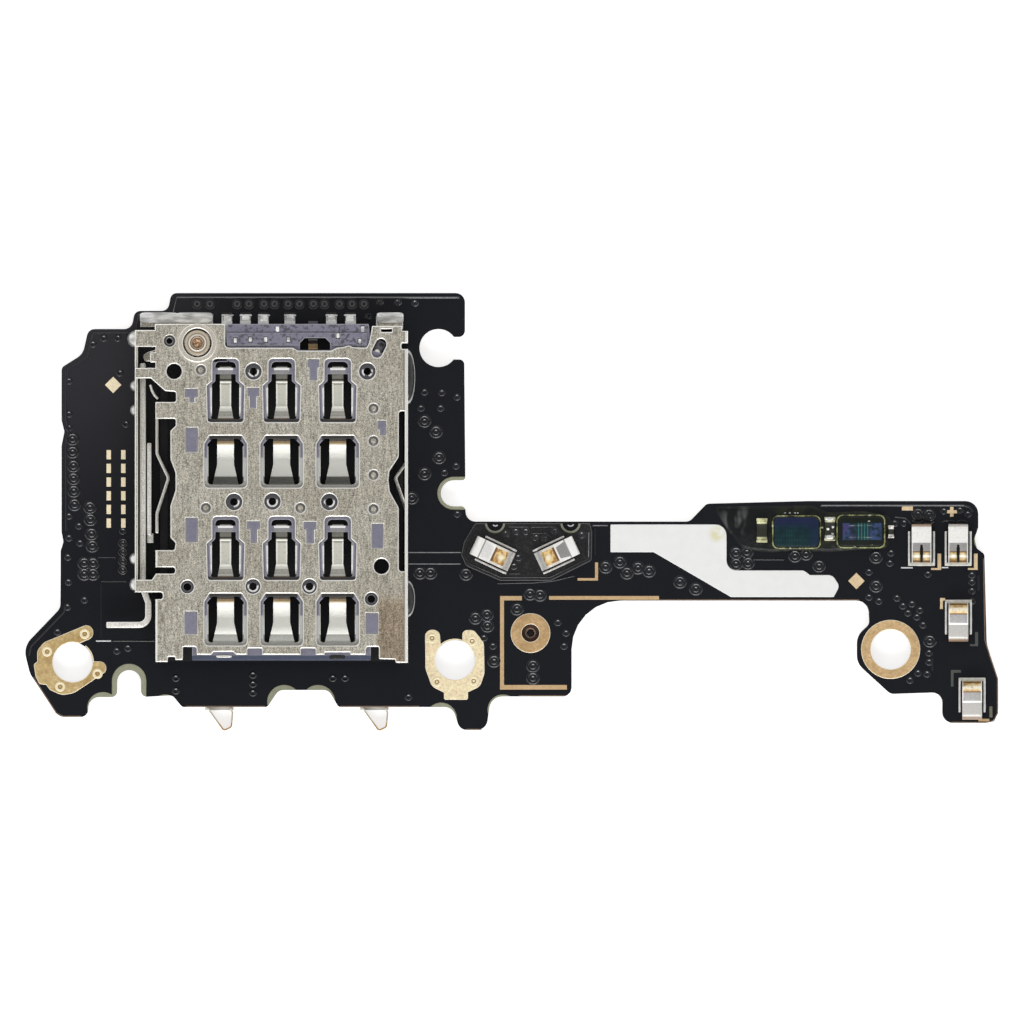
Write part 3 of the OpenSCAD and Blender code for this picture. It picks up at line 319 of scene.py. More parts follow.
def mark_skin():
    """Bare marks: cream beside the socket, tan along the arm, dull grey beside the lower clips."""
    s = Skin("mark_gold")
    blot = s.noise(2.0, 4.0, 0.65)
    grain = s.noise(11.0, 2.0)
    color = s.x.above(0.0).mix((0.98, 0.85, 0.6), blot.mix((0.52, 0.34, 0.165), (0.66, 0.47, 0.26)))
    color = (s.x.above(17.0) * s.y.above(1.6)).mix(color, blot.mix((0.66, 0.47, 0.25), (0.85, 0.69, 0.45)))
    dull = s.x.above(23.2) * s.y.between(0.5, 1.4) + s.x.above(22.0) * s.y.between(-1.4, -0.3)
    color = dull.mix(color, (0.075, 0.085, 0.075))
    color = (s.x.above(24.1) * s.y.between(-2.62, -1.9)).mix(color, (0.17, 0.16, 0.11))
    return s.finish(times(color, 0.75 + grain * 0.5), 0.4 + blot * 0.15, 0.15, s.relief(grain, 0.003))


def tin_skin():
    """Matt tin with a yellow stain beside the resin."""
    s = Skin("tinned_plate")
    soft = s.noise(2.2, 3.0)
    grain = s.noise(12.0, 2.0, 0.5, (1.0, 0.3, 1.0))
    color = soft.mix((0.82, 0.82, 0.81), (0.9, 0.9, 0.89))
    stain = s.disc(11.87, 5.7, 0.3, 0.4) * s.noise(3.0, 2.0).above(0.4, 0.3)
    color = stain.mix(color, (0.74, 0.7, 0.45))
    return s.finish(color, 0.45 + (grain - 0.5) * 0.2, 0.05, s.relief(grain, 0.003))


def insulator_skin():
    """Black film with a fine grey speckle, and grey on its rolled edges, a painted highlight."""
    s = Skin("insulator_film")
    speck = s.noise(9.0, 3.0, 0.65)
    color = speck.above(0.56, 0.12).mix((0.004, 0.004, 0.005), (0.018, 0.018, 0.018))
    # Painted highlight: the rolled edges turn grey by the way they face.
    color = s.facing.between(0.2, 0.96).mix(color, (0.07, 0.07, 0.072))
    return s.finish(color, 0.45 + (speck - 0.5) * 0.2, 0.0, s.relief(speck, 0.008), Specular_IOR_Level=0.4)


def clip_axes(s, x, y, turn):
    """Distance along a clip, towards its free end, and to either side of its middle."""
    dx = s.x - x
    dy = s.y - y
    along = dx * math.cos(turn) + dy * math.sin(turn)
    return along, abs(dy * math.cos(turn) - dx * math.sin(turn))


def clip_skin(name, x, y, heading, face, slope, back, slit):
    """Bright flat back, greyer rise with painted shade, gold crest with painted highlights and painted
    shade, painted shade in the slit, the groove and low down on the clip. heading is the way of the free
    end, in degrees.
    """
    s = Skin(name)
    along, across = clip_axes(s, x, y, math.radians(heading))
    grain = s.noise(10.0, 3.0, 0.6)
    worn = s.noise(5.0, 2.0)
    color = times(face, 0.82 + grain * 0.36)
    color = along.below(-0.83, 0.05).mix(color, back)
    color = along.between(-0.18, -0.1, 0.03).mix(color, (0.97, 0.96, 0.93))
    # Painted shade: the rise is greyer than the flat back of the same metal.
    rise = times(slope, 0.7 + grain * 0.6)
    color = along.above(-0.1, 0.04).mix(color, rise)
    gold = worn.above(0.52, 0.2).mix((0.92, 0.7, 0.34), (0.55, 0.32, 0.1))
    # Painted highlights: near white spots on the gold crest.
    gold = (along.between(0.42, 0.6, 0.1) * grain.above(0.42, 0.2)).mix(gold, (1.0, 0.95, 0.78))
    # Painted light across the domes of the crest: lighter in their middle, darker at their sides.
    if slit:
        gold = times(gold, 1.0 - (across - 0.21) * (across - 0.21) * 16.0)
    # Painted shade: brown at the ends of the domes.
    ends = along.between(0.25, 0.34, 0.05) + along.between(0.7, 0.78, 0.05)
    gold = ends.mix(gold, (0.22, 0.12, 0.05))
    color = along.above(0.28, 0.05).mix(color, gold)
    # Painted highlight along the rails.
    color = (across.above(0.4, 0.02) * along.above(-0.1, 0.05)).mix(color, (0.85, 0.84, 0.8))
    # Painted shade: black in the slit and brown in the groove between the domes.
    if slit:
        gap = across.below(0.075, 0.02) * along.between(0.1, 0.46, 0.03)
        color = gap.mix(color, (0.004, 0.004, 0.004))
        groove = across.below(0.045, 0.03) * along.between(0.46, 0.78, 0.03)
        color = groove.mix(color, (0.16, 0.1, 0.05))
    frame_tone = worn.mix((0.5, 0.49, 0.47), (1.0, 0.99, 0.97))
    color = across.above(0.445, 0.01).mix(color, (0.02, 0.02, 0.02))
    color = across.above(0.51, 0.02).mix(color, frame_tone)
    color = along.above(0.8, 0.04).mix(color, worn.mix((0.4, 0.39, 0.34), (1.0, 0.99, 0.9)))
    # Painted shade: black low down on the clip, under its arm.
    foot = s.z.below(SEAT + 0.16, 0.03) * across.below(0.5) * along.below(0.78)
    color = foot.mix(color, (0.02, 0.02, 0.02))
    return s.finish(color, 0.3 + (grain - 0.5) * 0.16, 0.15, s.relief(grain, 0.003))


def film_clip_skin(name, x, y, heading, face):
    """Clip on the film: white back, framed face, small gold crest, open pale frame at its end; the white
    back, the face's border and the crest carry painted highlights, the start of the crest painted shade.
    """
    s = Skin(name)
    turn = math.radians(heading)
    along, across = clip_axes(s, x, y, turn)
    grain = s.noise(10.0, 3.0, 0.6)
    worn = s.noise(5.0, 2.0)
    color = times(face, 0.75 + grain * 0.5)
    # Painted highlights on the facets: the border of the face, the rear strip and a line before the crest.
    color = (across + along * 0.2).above(0.26, 0.03).mix(color, (0.9, 0.89, 0.86))
    color = along.below(-0.52, 0.03).mix(color, (0.96, 0.95, 0.92))
    color = along.between(-0.56, -0.5, 0.02).mix(color, (0.33, 0.32, 0.3))
    color = along.between(-0.06, 0.02, 0.02).mix(color, (0.95, 0.94, 0.9))
    gold = worn.above(0.5, 0.2).mix((0.9, 0.62, 0.25), (0.42, 0.22, 0.06))
    # Painted highlight on the gold crest.
    shine = s.disc(x + 0.42 * math.cos(turn), y + 0.42 * math.sin(turn), 0.14, 0.22)
    gold = shine.mix(gold, (1.0, 0.91, 0.64))
    # Painted shade at the start of the crest.
    gold = along.below(0.12, 0.06).mix(gold, (0.16, 0.08, 0.03))
    color = along.above(0.02, 0.03).mix(color, gold)
    color = (across.above(0.33, 0.03) * along.above(0.02, 0.03)).mix(color, (0.78, 0.74, 0.66))
    color = along.above(0.66, 0.04).mix(color, grain.mix((0.3, 0.29, 0.27), (0.95, 0.94, 0.9)))
    color = across.above(0.445, 0.01).mix(color, (0.02, 0.02, 0.02))
    color = across.above(0.52, 0.02).mix(color, worn.mix((0.4, 0.39, 0.38), (0.95, 0.94, 0.92)))
    return s.finish(color, 0.3 + (grain - 0.5) * 0.16, 0.15, s.relief(grain, 0.003))


def chip_skin(name, x, y, open_top):
    """Dark teal chip with faint lines. open_top shows the striped block inside."""
    s = Skin(name)
    cloud = s.noise(2.4, 3.0)
    dx = s.x - x
    dy = s.y - y
    color = cloud.mix((0.001, 0.009, 0.018), (0.004, 0.036, 0.036))
    if open_top:
        inner = dx.between(-0.82, 0.94, 0.05) * dy.between(-0.38, 0.38, 0.05)
        stripes = (dx * 46.0).sine().above(0.1, 0.9) * dx.between(-0.2, 0.35, 0.1)
        block = cloud.mix((0.003, 0.008, 0.014), (0.01, 0.03, 0.04))
        block = (stripes * s.noise(7.0, 2.0).above(0.36, 0.3)).mix(block, (0.025, 0.13, 0.125))
        ends = abs(dx + 0.05).above(0.42, 0.2) * s.noise(5.0, 2.0).above(0.46, 0.3)
        block = ends.mix(block, (0.035, 0.06, 0.15))
        left = dx.below(-0.3, 0.3) * s.noise(4.0, 2.0).above(0.52, 0.2)
        block = left.mix(block, (0.05, 0.045, 0.14))
        rim = s.noise(3.0, 2.0).above(0.5, 0.4) * abs(dx).below(0.5, 0.2)
        rim = rim * abs(abs(dy) - 0.27).below(0.025, 0.03)
        block = (rim * 0.7).mix(block, (0.3, 0.36, 0.35))
        color = inner.mix(cloud.mix((0.002, 0.004, 0.003), (0.006, 0.012, 0.006)), block)
    else:
        rows = (dx * 52.0).sine().above(0.5, 0.6) * (dy * 30.0).sine().above(0.0, 0.8)
        rows = rows * cloud.above(0.45, 0.2)
        color = (rows * 0.3).mix(color, (0.02, 0.09, 0.085))
        color = (dy.above(0.3, 0.5) * 0.8).mix(color, (0.01, 0.012, 0.06))
        color = (dx.above(0.6, 0.5) * 0.6).mix(color, (0.006, 0.014, 0.05))
    color = s.facing.below(0.8, 0.3).mix(color, (0.003, 0.006, 0.007))
    return s.finish(color, 0.28 + cloud * 0.12, 0.0, s.relief(cloud, 0.008), Specular_IOR_Level=0.25)


def capacitor_skin(name, y, half, tin):
    """Dark body, tinned where it lies further than half from its middle at y."""
    s = Skin(name)
    ends = abs(s.y - y).above(half, 0.04)
    grain = s.noise(8.0, 3.0)
    body = grain.mix((0.006, 0.007, 0.003), (0.022, 0.024, 0.011))
    worn = s.noise(3.5, 2.0).above(0.5, 0.3)
    cap = worn.mix(times(tin, 0.4 + grain * 0.3), times(tin, 0.9 + grain * 0.6))
    return s.finish(ends.mix(body, cap), 0.38, ends * 0.2, s.relief(grain, 0.008))


def resin_skin():
    """Black resin: green near the chips, and grey streaks of painted glare at the thin end."""
    s = Skin("potting_resin")
    ripple = s.noise(1.1, 3.0)
    fine = s.noise(4.0, 2.0)
    near = s.disc(*CHIPS[0], 1.3, 0.8).most(s.disc(*CHIPS[1], 1.3, 0.8)).most(s.disc(16.95, 5.9, 0.8, 0.8))
    color = (near * s.noise(2.6, 2.0).above(0.46, 0.3)).mix((0.003, 0.004, 0.0045), (0.017, 0.021, 0.008))
    # Painted glare: grey streaks at the thin end.
    painted_glare = s.noise(1.6, 2.0, 0.5, (1.0, 0.5, 1.0)).above(0.52, 0.2) * s.disc(12.75, 6.35, 0.55, 0.7)
    color = painted_glare.mix(color, (0.12, 0.125, 0.12))
    return s.finish(color, 0.26 + fine * 0.2, 0.0, s.relief(ripple, 0.08), Specular_IOR_Level=0.25)


def bead_skin():
    """Yellow-green bead of resin round the chips, with pale spots of painted highlight."""
    s = Skin("chip_bead")
    cloud = s.noise(3.2, 3.0)
    color = cloud.above(0.5, 0.25).mix((0.03, 0.036, 0.012), (0.4, 0.42, 0.17))
    # Painted highlights: pale spots on the bead.
    color = s.noise(2.0, 2.0).above(0.62, 0.1).mix(color, (0.85, 0.85, 0.6))
    return s.finish(color, 0.2, 0.0, s.relief(cloud, 0.02), Specular_IOR_Level=0.8)


def roof_skin():
    """Purple-grey moulding: darker and bluer along the mouth, dark round the bosses, with painted
    highlights on its edges and in the large bosses, and painted shadow under the cover's edges in the
    windows.
    """
    s = Skin("purple_plastic")
    grain = s.noise(12.0, 3.0, 0.65)
    cloud = s.noise(0.8, 2.0)
    color = cloud.mix((0.165, 0.16, 0.215), (0.225, 0.218, 0.275))
    color = times(color, 0.45 + grain * 0.75 + s.noise(4.0, 3.0) * 0.35)
    color = (s.y.above(14.2) * s.noise(5.0, 3.0).above(0.56, 0.1)).mix(color, (0.085, 0.08, 0.1))
    # Painted highlight: slopes and rolled edges turn paler by the way they face.
    color = s.facing.between(0.2, 0.96).mix(color, (0.3, 0.295, 0.33))
    color = s.y.below(0.2, 0.06).mix(color, times((0.062, 0.074, 0.118), 0.6 + grain * 0.8))
    for x, y, r in BOSSES:
        out = s.reach(SOCKET[0] + x, SOCKET[1] + y)
        color = out.below(r + 0.03, 0.02).mix(color, (0.06, 0.057, 0.064))
        # Painted glints inside the large bosses, on their lower side.
        lit = s.noise(3.0, 2.0).above(0.46, 0.1) * s.y.below(SOCKET[1] + y + 0.08, 0.1)
        if r > 0.3:
            color = (out.between(0.15, 0.25, 0.02) * lit).mix(color, (0.75, 0.74, 0.72))
        else:
            color = out.between(0.15, 0.2, 0.02).mix(color, (0.13, 0.12, 0.13))
    u = abs(s.x - SOCKET[0])
    u = u.least(abs(u - COLUMN_PITCH))
    v = s.y - SOCKET[1]
    v = v - ROW_OFFSET + v.below(0.0) * (2 * ROW_OFFSET)
    sill = grain.mix((0.24, 0.235, 0.215), (0.5, 0.49, 0.46))
    color = (u.below(1.0) * v.between(-2.75, -2.24, 0.03)).mix(color, sill)
    color = (u.between(0.76, 1.0, 0.02) * v.between(-2.3, -1.25, 0.05)).mix(color, (0.5, 0.5, 0.49))
    # Painted shadow: dark bands just inside the windows, under the cover's edges.
    color = (u.below(0.72) * v.between(-0.46, -0.2, 0.02)).mix(color, (0.03, 0.027, 0.027))
    color = (u.below(0.78) * v.between(0.3, 0.52, 0.02)).mix(color, (0.05, 0.045, 0.045))
    neck = grain.mix((0.16, 0.155, 0.16), (0.36, 0.35, 0.35))
    color = (u.below(0.34) * v.between(2.54, 2.72, 0.02)).mix(color, neck)
    color = (u.below(0.345) * v.between(2.72, 2.84, 0.02)).mix(color, (0.88, 0.86, 0.86))
    return s.finish(color, 0.5 + (grain - 0.5) * 0.2, 0.0, s.relief(grain, 0.006), Specular_IOR_Level=0.4)


def base_skin():
    """Black moulding under the contacts."""
    s = Skin("black_plastic")
    grain = s.noise(12.0, 3.0, 0.65)
    color = grain.mix((0.003, 0.003, 0.004), (0.014, 0.014, 0.016))
    return s.finish(color, 0.3 + grain * 0.2, 0.0, s.relief(grain, 0.006), Specular_IOR_Level=0.4)


def lower_contact_skin(name, cy):
    """White blade, its white a painted highlight, with a painted glow on it; grey root band, gold at the
    tip.
    """
    s = Skin(name)
    along = s.y - cy
    grain = s.noise(12.0, 3.0, 0.6)
    # The blade's white is a painted highlight.
    blade = grain.mix((0.88, 0.88, 0.8), (0.97, 0.97, 0.9))
    root = grain.mix((0.3, 0.3, 0.27), (0.5, 0.5, 0.46))
    gold = grain.mix((0.6, 0.34, 0.13), (1.0, 0.8, 0.52))
    color = along.above(-2.1, 0.04).mix(root, blade)
    color = along.above(-0.68, 0.04).mix(color, (1.0, 0.86, 0.6))
    color = along.above(-0.6, 0.04).mix(color, gold)
    color = along.above(-0.5, 0.04).mix(color, grain.mix((0.06, 0.05, 0.045), (0.42, 0.39, 0.35)))
    # Painted light: the blade glows, more towards its root and in the back row.
    level = along.below(-1.3, 0.5) * 0.12 + (0.12 if cy < SOCKET[1] else 0.2)
    flat = along.between(-2.1, -0.66, 0.1)
    glow = (flat * level).mix(BLACK, (1.0, 1.0, 0.93))
    return s.finish(color, 0.42 + (grain - 0.5) * 0.2, flat * 0.2 + 0.12, s.relief(grain, 0.002),
                    Emission_Color=glow, Emission_Strength=1.0)


def upper_contact_skin(name, cx, cy):
    """Pale grey blade, darker at the root, with painted highlights on its bend, its edges and its rails, a
    painted glow on its bend, flare and rails, and bright soldered tail at the back of the socket.
    """
    s = Skin(name)
    along = s.y - cy
    grain = s.noise(12.0, 3.0, 0.6)
    blade = grain.mix((0.46, 0.45, 0.385), (0.58, 0.565, 0.485))
    dark = grain.mix((0.14, 0.135, 0.11), (0.3, 0.29, 0.25))
    pale = grain.mix((0.78, 0.77, 0.68), (0.95, 0.94, 0.84))
    color = along.above(2.05, 0.06).mix(blade, dark)
    color = along.above(2.74, 0.02).mix(color, pale)
    color = along.above(2.86, 0.02).mix(color, (0.004, 0.004, 0.004))
    color = along.between(2.12, 2.2, 0.03).mix(color, pale)
    color = along.between(2.24, 2.32, 0.03).mix(color, (0.05, 0.045, 0.035))
    # Painted highlight on the bend of the blade.
    color = along.between(0.84, 1.08, 0.06).mix(color, pale)
    color = along.below(0.8, 0.06).mix(color, grain.mix((0.62, 0.6, 0.52), (0.98, 0.96, 0.87)))
    color = along.below(0.54, 0.03).mix(color, grain.mix((0.12, 0.075, 0.04), (0.5, 0.36, 0.24)))
    # Painted highlight: the rails are painted near white.
    rail = abs(s.x - cx).above(0.55, 0.03) * along.between(0.74, 1.92, 0.04)
    color = rail.mix(color, (0.92, 0.91, 0.9))
    # Painted highlight along both edges of the blade.
    edge = abs(s.x - cx).between(0.19, 0.26, 0.03) * along.between(1.08, 2.1, 0.04)
    color = (edge * 0.6).mix(color, (0.92, 0.91, 0.86))
    color = s.y.above(14.2, 0.1).mix(color, grain.mix((0.55, 0.55, 0.54), (0.9, 0.9, 0.88)))
    color = s.y.above(15.66, 0.02).mix(color, (0.01, 0.01, 0.012))
    # Painted light: the bend, the flare and the rails glow.
    lit = along.between(0.86, 1.06, 0.06) * 0.2 + along.between(0.56, 0.86, 0.04) * 0.07 + rail * 0.17
    glow = lit.mix(BLACK, (1.0, 0.99, 0.92))
    return s.finish(color, 0.3 + (grain - 0.5) * 0.2, 0.15, s.relief(grain, 0.002),
                    Emission_Color=glow, Emission_Strength=1.0)


def detect_skin():
    """Gold at the free end, with painted shade where it runs back under the roof."""
    s = Skin("detect_spring")
    grain = s.noise(9.0, 3.0)
    color = grain.mix((0.5, 0.27, 0.1), (1.0, 0.8, 0.45))
    # Painted shade: near black where the spring runs under the roof, dark grey further back.
    color = s.y.above(14.32, 0.05).mix(color, (0.02, 0.018, 0.018))
    color = s.y.above(14.9, 0.05).mix(color, (0.1, 0.095, 0.12))
    return s.finish(color, 0.3 + grain * 0.15, 0.2, s.relief(grain, 0.003))


def bronze_skin(name, light, dark, metal=0.5):
    """Plain plated metal, a little blotched."""
    s = Skin(name)
    grain = s.noise(9.0, 3.0)
    return s.finish(grain.mix(dark, light), 0.3 + grain * 0.15, metal, s.relief(grain, 0.003))


def finger_skin():
    """Pale foot, silver arms, gold at the bend of the loop."""
    s = Skin("ground_finger")
    grain = s.noise(6.0, 3.0)
    silver = grain.mix((0.42, 0.36, 0.26), (0.7, 0.63, 0.5))
    gold = grain.mix((0.36, 0.2, 0.06), (0.62, 0.4, 0.16))
    pale = grain.mix((0.8, 0.76, 0.68), (0.98, 0.95, 0.88))
    color = s.y.below(-2.3, 0.1).mix(pale, silver)
    return s.finish(s.y.below(-2.85, 0.15).mix(color, gold), 0.32, 0.3, s.relief(grain, 0.003))


def rivet_skin():
    """Rings of a turned head: dark groove, pale land, copper centre."""
    s = Skin("lever_rivet")
    out = s.reach(*PIVOT)
    grain = s.noise(10.0, 3.0)
    color = times((0.58, 0.5, 0.39), 0.75 + grain * 0.5)
    color = out.above(0.59, 0.04).mix(color, (0.22, 0.14, 0.08))
    color = out.between(0.4, 0.45, 0.03).mix(color, (0.3, 0.22, 0.14))
    color = out.between(0.33, 0.4, 0.03).mix(color, (0.92, 0.89, 0.82))
    color = out.between(0.28, 0.33, 0.02).mix(color, (0.16, 0.1, 0.05))
    color = out.between(0.23, 0.28, 0.02).mix(color, (0.5, 0.42, 0.33))
    color = out.below(0.23, 0.03).mix(color, grain.mix((0.14, 0.05, 0.015), (0.5, 0.26, 0.12)))
    color = (out.below(0.17, 0.1) * grain.above(0.54, 0.1)).mix(color, (0.95, 0.72, 0.5))
    return s.finish(color, 0.34, 0.4, s.relief(grain, 0.004))


def solder_skin(name, hollow):
    """Bright solder: painted highlights on its crests, soft painted shade in its hollows, in the tone
    hollow, and on its steep sides.
    """
    s = Skin(name)
    mound = s.noise(2.0, 1.0, 0.4, (0.6, 1.8, 1.0))
    grain = s.noise(10.0, 2.0)
    # Painted highlight on the crests of the mound noise, painted shade in its hollows.
    color = mound.above(0.47, 0.5).mix(hollow, (1.0, 1.0, 0.99))
    color = mound.above(0.52, 0.1).mix(color, (1.0, 1.0, 0.99))
    color = times(color, 0.9 + grain * 0.2)
    # Painted shade on the steep sides.
    color = s.facing.below(0.6, 0.3).mix(color, times(color, 0.3 + grain * 0.2))
    return s.finish(color, 0.18 + grain * 0.12, 0.2, s.relief(mound, 0.05))


def lens_skin():
    """Solder lens: dark, with a bright line along its foot, a painted highlight."""
    s = Skin("solder_lens")
    mound = s.noise(3.0, 2.0)
    color = mound.mix((0.012, 0.012, 0.013), (0.05, 0.05, 0.05))
    # Painted highlight: a bright line along the foot.
    color = s.z.below(SEAT + 0.17, 0.06).mix(color, (0.75, 0.75, 0.74))
    return s.finish(color, 0.25, 0.1, s.relief(mound, 0.02))


# Shapes


def add_mesh(name, bm, material, body="board", smooth=80.0, flats=False):
    """A finished bmesh as a piece that rides on a body. flats keeps the level faces flat shaded."""
    mesh = bpy.data.meshes.new(name)
    bm.normal_update()
    for f in bm.faces:
        f.smooth = not (flats and f.normal.z > LEVEL)
    for e in bm.edges:
        e.smooth = len(e.link_faces) == 2 and e.calc_face_angle(0.0) < math.radians(smooth)
    bm.to_mesh(mesh)
    bm.free()
    mesh.materials.append(material)
    obj = bpy.data.objects.new(name, mesh)
    bpy.context.scene.collection.objects.link(obj)
    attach(obj, body)
    return obj


def copy_of(node):
    """The mesh of a CAD piece with its doubled points joined, to be worked on."""
    bm = bmesh.new()
    bm.from_mesh(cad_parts[node].data)
    bmesh.ops.remove_doubles(bm, verts=bm.verts, dist=WELD)
    return bm


def soften(node, width, material, body="board"):
    """A copy of a CAD piece with its edges rounded, shown in its place."""
    bm = copy_of(node)
    bmesh.ops.dissolve_limit(bm, angle_limit=math.radians(0.4), verts=bm.verts, edges=bm.edges)
    inner = [e for e in bm.edges if len(e.link_faces) == 2]
    sharp = [e for e in inner if e.calc_face_angle(0.0) > math.radians(30.0)]
    bmesh.ops.bevel(bm, geom=sharp, offset=width * MM, offset_type="OFFSET", segments=2, profile=0.5,
                    affect="EDGES", clamp_overlap=False)
    obj = add_mesh(node + "_soft", bm, material, body, smooth=50.0)
    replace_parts(obj, node)
    return obj


def rim_of(edge):
    """The level face of an upper edge and the height of the side below it, or nothing elsewhere."""
    if len(edge.link_faces) != 2:
        return None
    level, side = sorted(edge.link_faces, key=lambda f: -f.normal.z)
    if level.normal.z < LEVEL or abs(side.normal.z) > 0.3:
        return None
    heights = [v.co.z for v in side.verts]
    if sum(heights) / len(heights) > edge.verts[0].co.z:
        return None
    return level, (max(heights) - min(heights)) / MM


def corner_move(pulls):
    """The move in the plan that draws a corner in by the width of each rim that meets there."""
    xx = sum(n.x * n.x for n, w, h in pulls)
    xy = sum(n.x * n.y for n, w, h in pulls)
    yy = sum(n.y * n.y for n, w, h in pulls)
    bx = sum(n.x * w for n, w, h in pulls)
    by = sum(n.y * w for n, w, h in pulls)
    det = xx * yy - xy * xy
    if det < 0.02:
        move = Vector((bx, by)) / (xx + yy)
    else:
        move = Vector((yy * bx - xy * by, xx * by - xy * bx)) / det
    most = 2.5 * max(w for n, w, h in pulls)
    return move.normalized() * most if move.length > most else move


def rolled(node, material, width, drop=None, fold=0.0):
    """A copy of a stamped or moulded piece with its upper edges rolled over, shown in its place.
    fold is the wider roll where the sheet on top turns down into a tall wall. Millimetres."""
    bm = copy_of(node)
    bm.normal_update()
    top_z = max(v.co.z for v in bm.verts)
    steps = 3

    def folded(edge, height):
        return fold and height > 0.8 and edge.verts[0].co.z > top_z - 0.1 * MM

    for edge in list(bm.edges):
        found = rim_of(edge)
        length = edge.calc_length() / MM
        if found and folded(edge, found[1]) and length > 0.5:
            part, spot = bmesh.utils.edge_split(edge, edge.verts[0], 0.1 / length)
            rest = edge if edge.calc_length() > part.calc_length() else part
            far = rest.other_vert(spot)
            bmesh.utils.edge_split(rest, far, 0.1 * MM / rest.calc_length())
    bm.normal_update()
    rims = []
    pulls = {}
    for edge in bm.edges:
        found = rim_of(edge)
        if not found:
            continue
        level, height = found
        loop = next(c for c in level.loops if c.edge == edge)
        a, b = loop.vert, loop.link_loop_next.vert
        way = (b.co - a.co).xy.normalized()
        size = fold if folded(edge, height) else width
        rims.append((a, b))
        pull = (Vector((-way.y, way.x)), size, min(drop or size, 0.45 * height))
        for v in (a, b):
            pulls.setdefault(v, []).append(pull)
    out = bmesh.new()
    low = {}
    ladder = {}
    for v in bm.verts:
        pull = pulls.get(v)
        if not pull:
            low[v] = out.verts.new(v.co)
            continue
        sink = min(h for n, w, h in pull) * MM
        move = corner_move(pull)
        low[v] = out.verts.new(v.co - Vector((0, 0, sink)))
        ladder[v] = [low[v]]
        for k in range(1, steps + 1):
            t = math.pi / 2 * k / steps
            shift = move * (1 - math.cos(t)) * MM
            rung = (v.co.x + shift.x, v.co.y + shift.y, v.co.z - sink * (1 - math.sin(t)))
            ladder[v].append(out.verts.new(rung))
    for f in bm.faces:
        level = f.normal.z > LEVEL
        out.faces.new([ladder[v][-1] if level and v in ladder else low[v] for v in f.verts])
    for a, b in rims:
        for k in range(steps):
            out.faces.new((ladder[a][k], ladder[b][k], ladder[b][k + 1], ladder[a][k + 1]))
    bm.free()
    obj = add_mesh(node + "_rolled", out, material, smooth=35.0, flats=True)
    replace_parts(obj, node)
    return obj


def lump(bm, x, y, z, rx, ry, h, corner=2.0, start=0.0, end=360.0, rings=5, steps=24, uneven=0.0):
    """A mound on a round or squarish foot. Millimetres and degrees."""
    whole = end - start >= 360.0
    count = steps if whole else steps + 1
    rows = []
    for k in range(rings):
        t = math.pi / 2 * k / rings
        row = []
        for j in range(count):
            a = math.radians(start + (end - start) * j / steps)
            px = math.copysign(abs(math.cos(a)) ** (2 / corner), math.cos(a))
            py = math.copysign(abs(math.sin(a)) ** (2 / corner), math.sin(a))
            f = math.cos(t) ** (2 / corner)
            up = math.sin(t) ** (2 / corner) * (1 + random.uniform(-uneven, uneven))
            row.append(bm.verts.new(((x + rx * px * f) * MM, (y + ry * py * f) * MM, (z + h * up) * MM)))
        rows.append(row)
    peak = bm.verts.new((x * MM, y * MM, (z + h) * MM))
    pairs = [(j, (j + 1) % count) for j in range(count if whole else count - 1)]
    for under, over in zip(rows, rows[1:]):
        for j, n in pairs:
            bm.faces.new((under[j], under[n], over[n], over[j]))
    for j, n in pairs:
        bm.faces.new((rows[-1][j], rows[-1][n], peak))


def pool(bm, outline, z, levels):
    """A body of resin: (inset, height) steps up from an outline that runs against the clock."""
    points = [Vector(p) for p in outline]
    count = len(points)
    rows = []
    for inset, height in levels:
        row = []
        for i, p in enumerate(points):
            way = (points[(i + 1) % count] - points[i - 1]).normalized()
            q = p + Vector((-way.y, way.x)) * inset
            row.append(bm.verts.new((q.x * MM, q.y * MM, (z + height) * MM)))
        rows.append(row)
    for under, over in zip(rows, rows[1:]):
        for j in range(count):
            n = (j + 1) % count
            bm.faces.new((under[j], under[n], over[n], over[j]))
    lid = bm.faces.new(rows[-1])
    bmesh.ops.triangulate(bm, faces=[lid])


def lathe(bm, x, y, z, profile, steps=28):
    """Turns (radius, height) pairs round an upright axis. Millimetres."""
    rings = []
    for r, h in profile:
        if r < 1e-6:
            rings.append([bm.verts.new((x * MM, y * MM, (z + h) * MM))])
            continue
        rings.append([bm.verts.new(((x + r * math.cos(a)) * MM, (y + r * math.sin(a)) * MM, (z + h) * MM))
                      for a in (2 * math.pi * k / steps for k in range(steps))])
    for low, high in zip(rings, rings[1:]):
        for k in range(steps):
            j = (k + 1) % steps
            if len(high) == 1:
                bm.faces.new((low[k], low[j], high[0]))
            elif len(low) == 1:
                bm.faces.new((high[j], high[k], low[0]))
            else:
                bm.faces.new((low[k], low[j], high[j], high[k]))


def ridge(bm, path, half, height, z, closed=False):
    """A low rounded ridge that follows a path in the plan."""
    sides = 5
    points = [Vector(p) for p in path]
    rows = []
    count = len(points)
    for i, p in enumerate(points):
        a = points[(i - 1) % count] if closed or i else p
        b = points[(i + 1) % count] if closed or i < count - 1 else p
        way = (b - a).normalized()
        left = Vector((-way.y, way.x))
        row = []
        for k in range(sides + 1):
            t = math.pi * k / sides
            q = p + left * half * math.cos(t)
            row.append(bm.verts.new((q.x * MM, q.y * MM, (z + height * math.sin(t)) * MM)))
        rows.append(row)
    pairs = list(zip(rows, rows[1:]))
    if closed:
        pairs.append((rows[-1], rows[0]))
    for r0, r1 in pairs:
        for k in range(sides):
            bm.faces.new((r0[k], r0[k + 1], r1[k + 1], r1[k]))


def arc(x, y, r, start, end, steps=14):
    """Points of an arc of the plan, from one angle to another in degrees."""
    turns = [math.radians(start + (end - start) * k / steps) for k in range(steps + 1)]
    return [(x + r * math.cos(a), y + r * math.sin(a)) for a in turns]


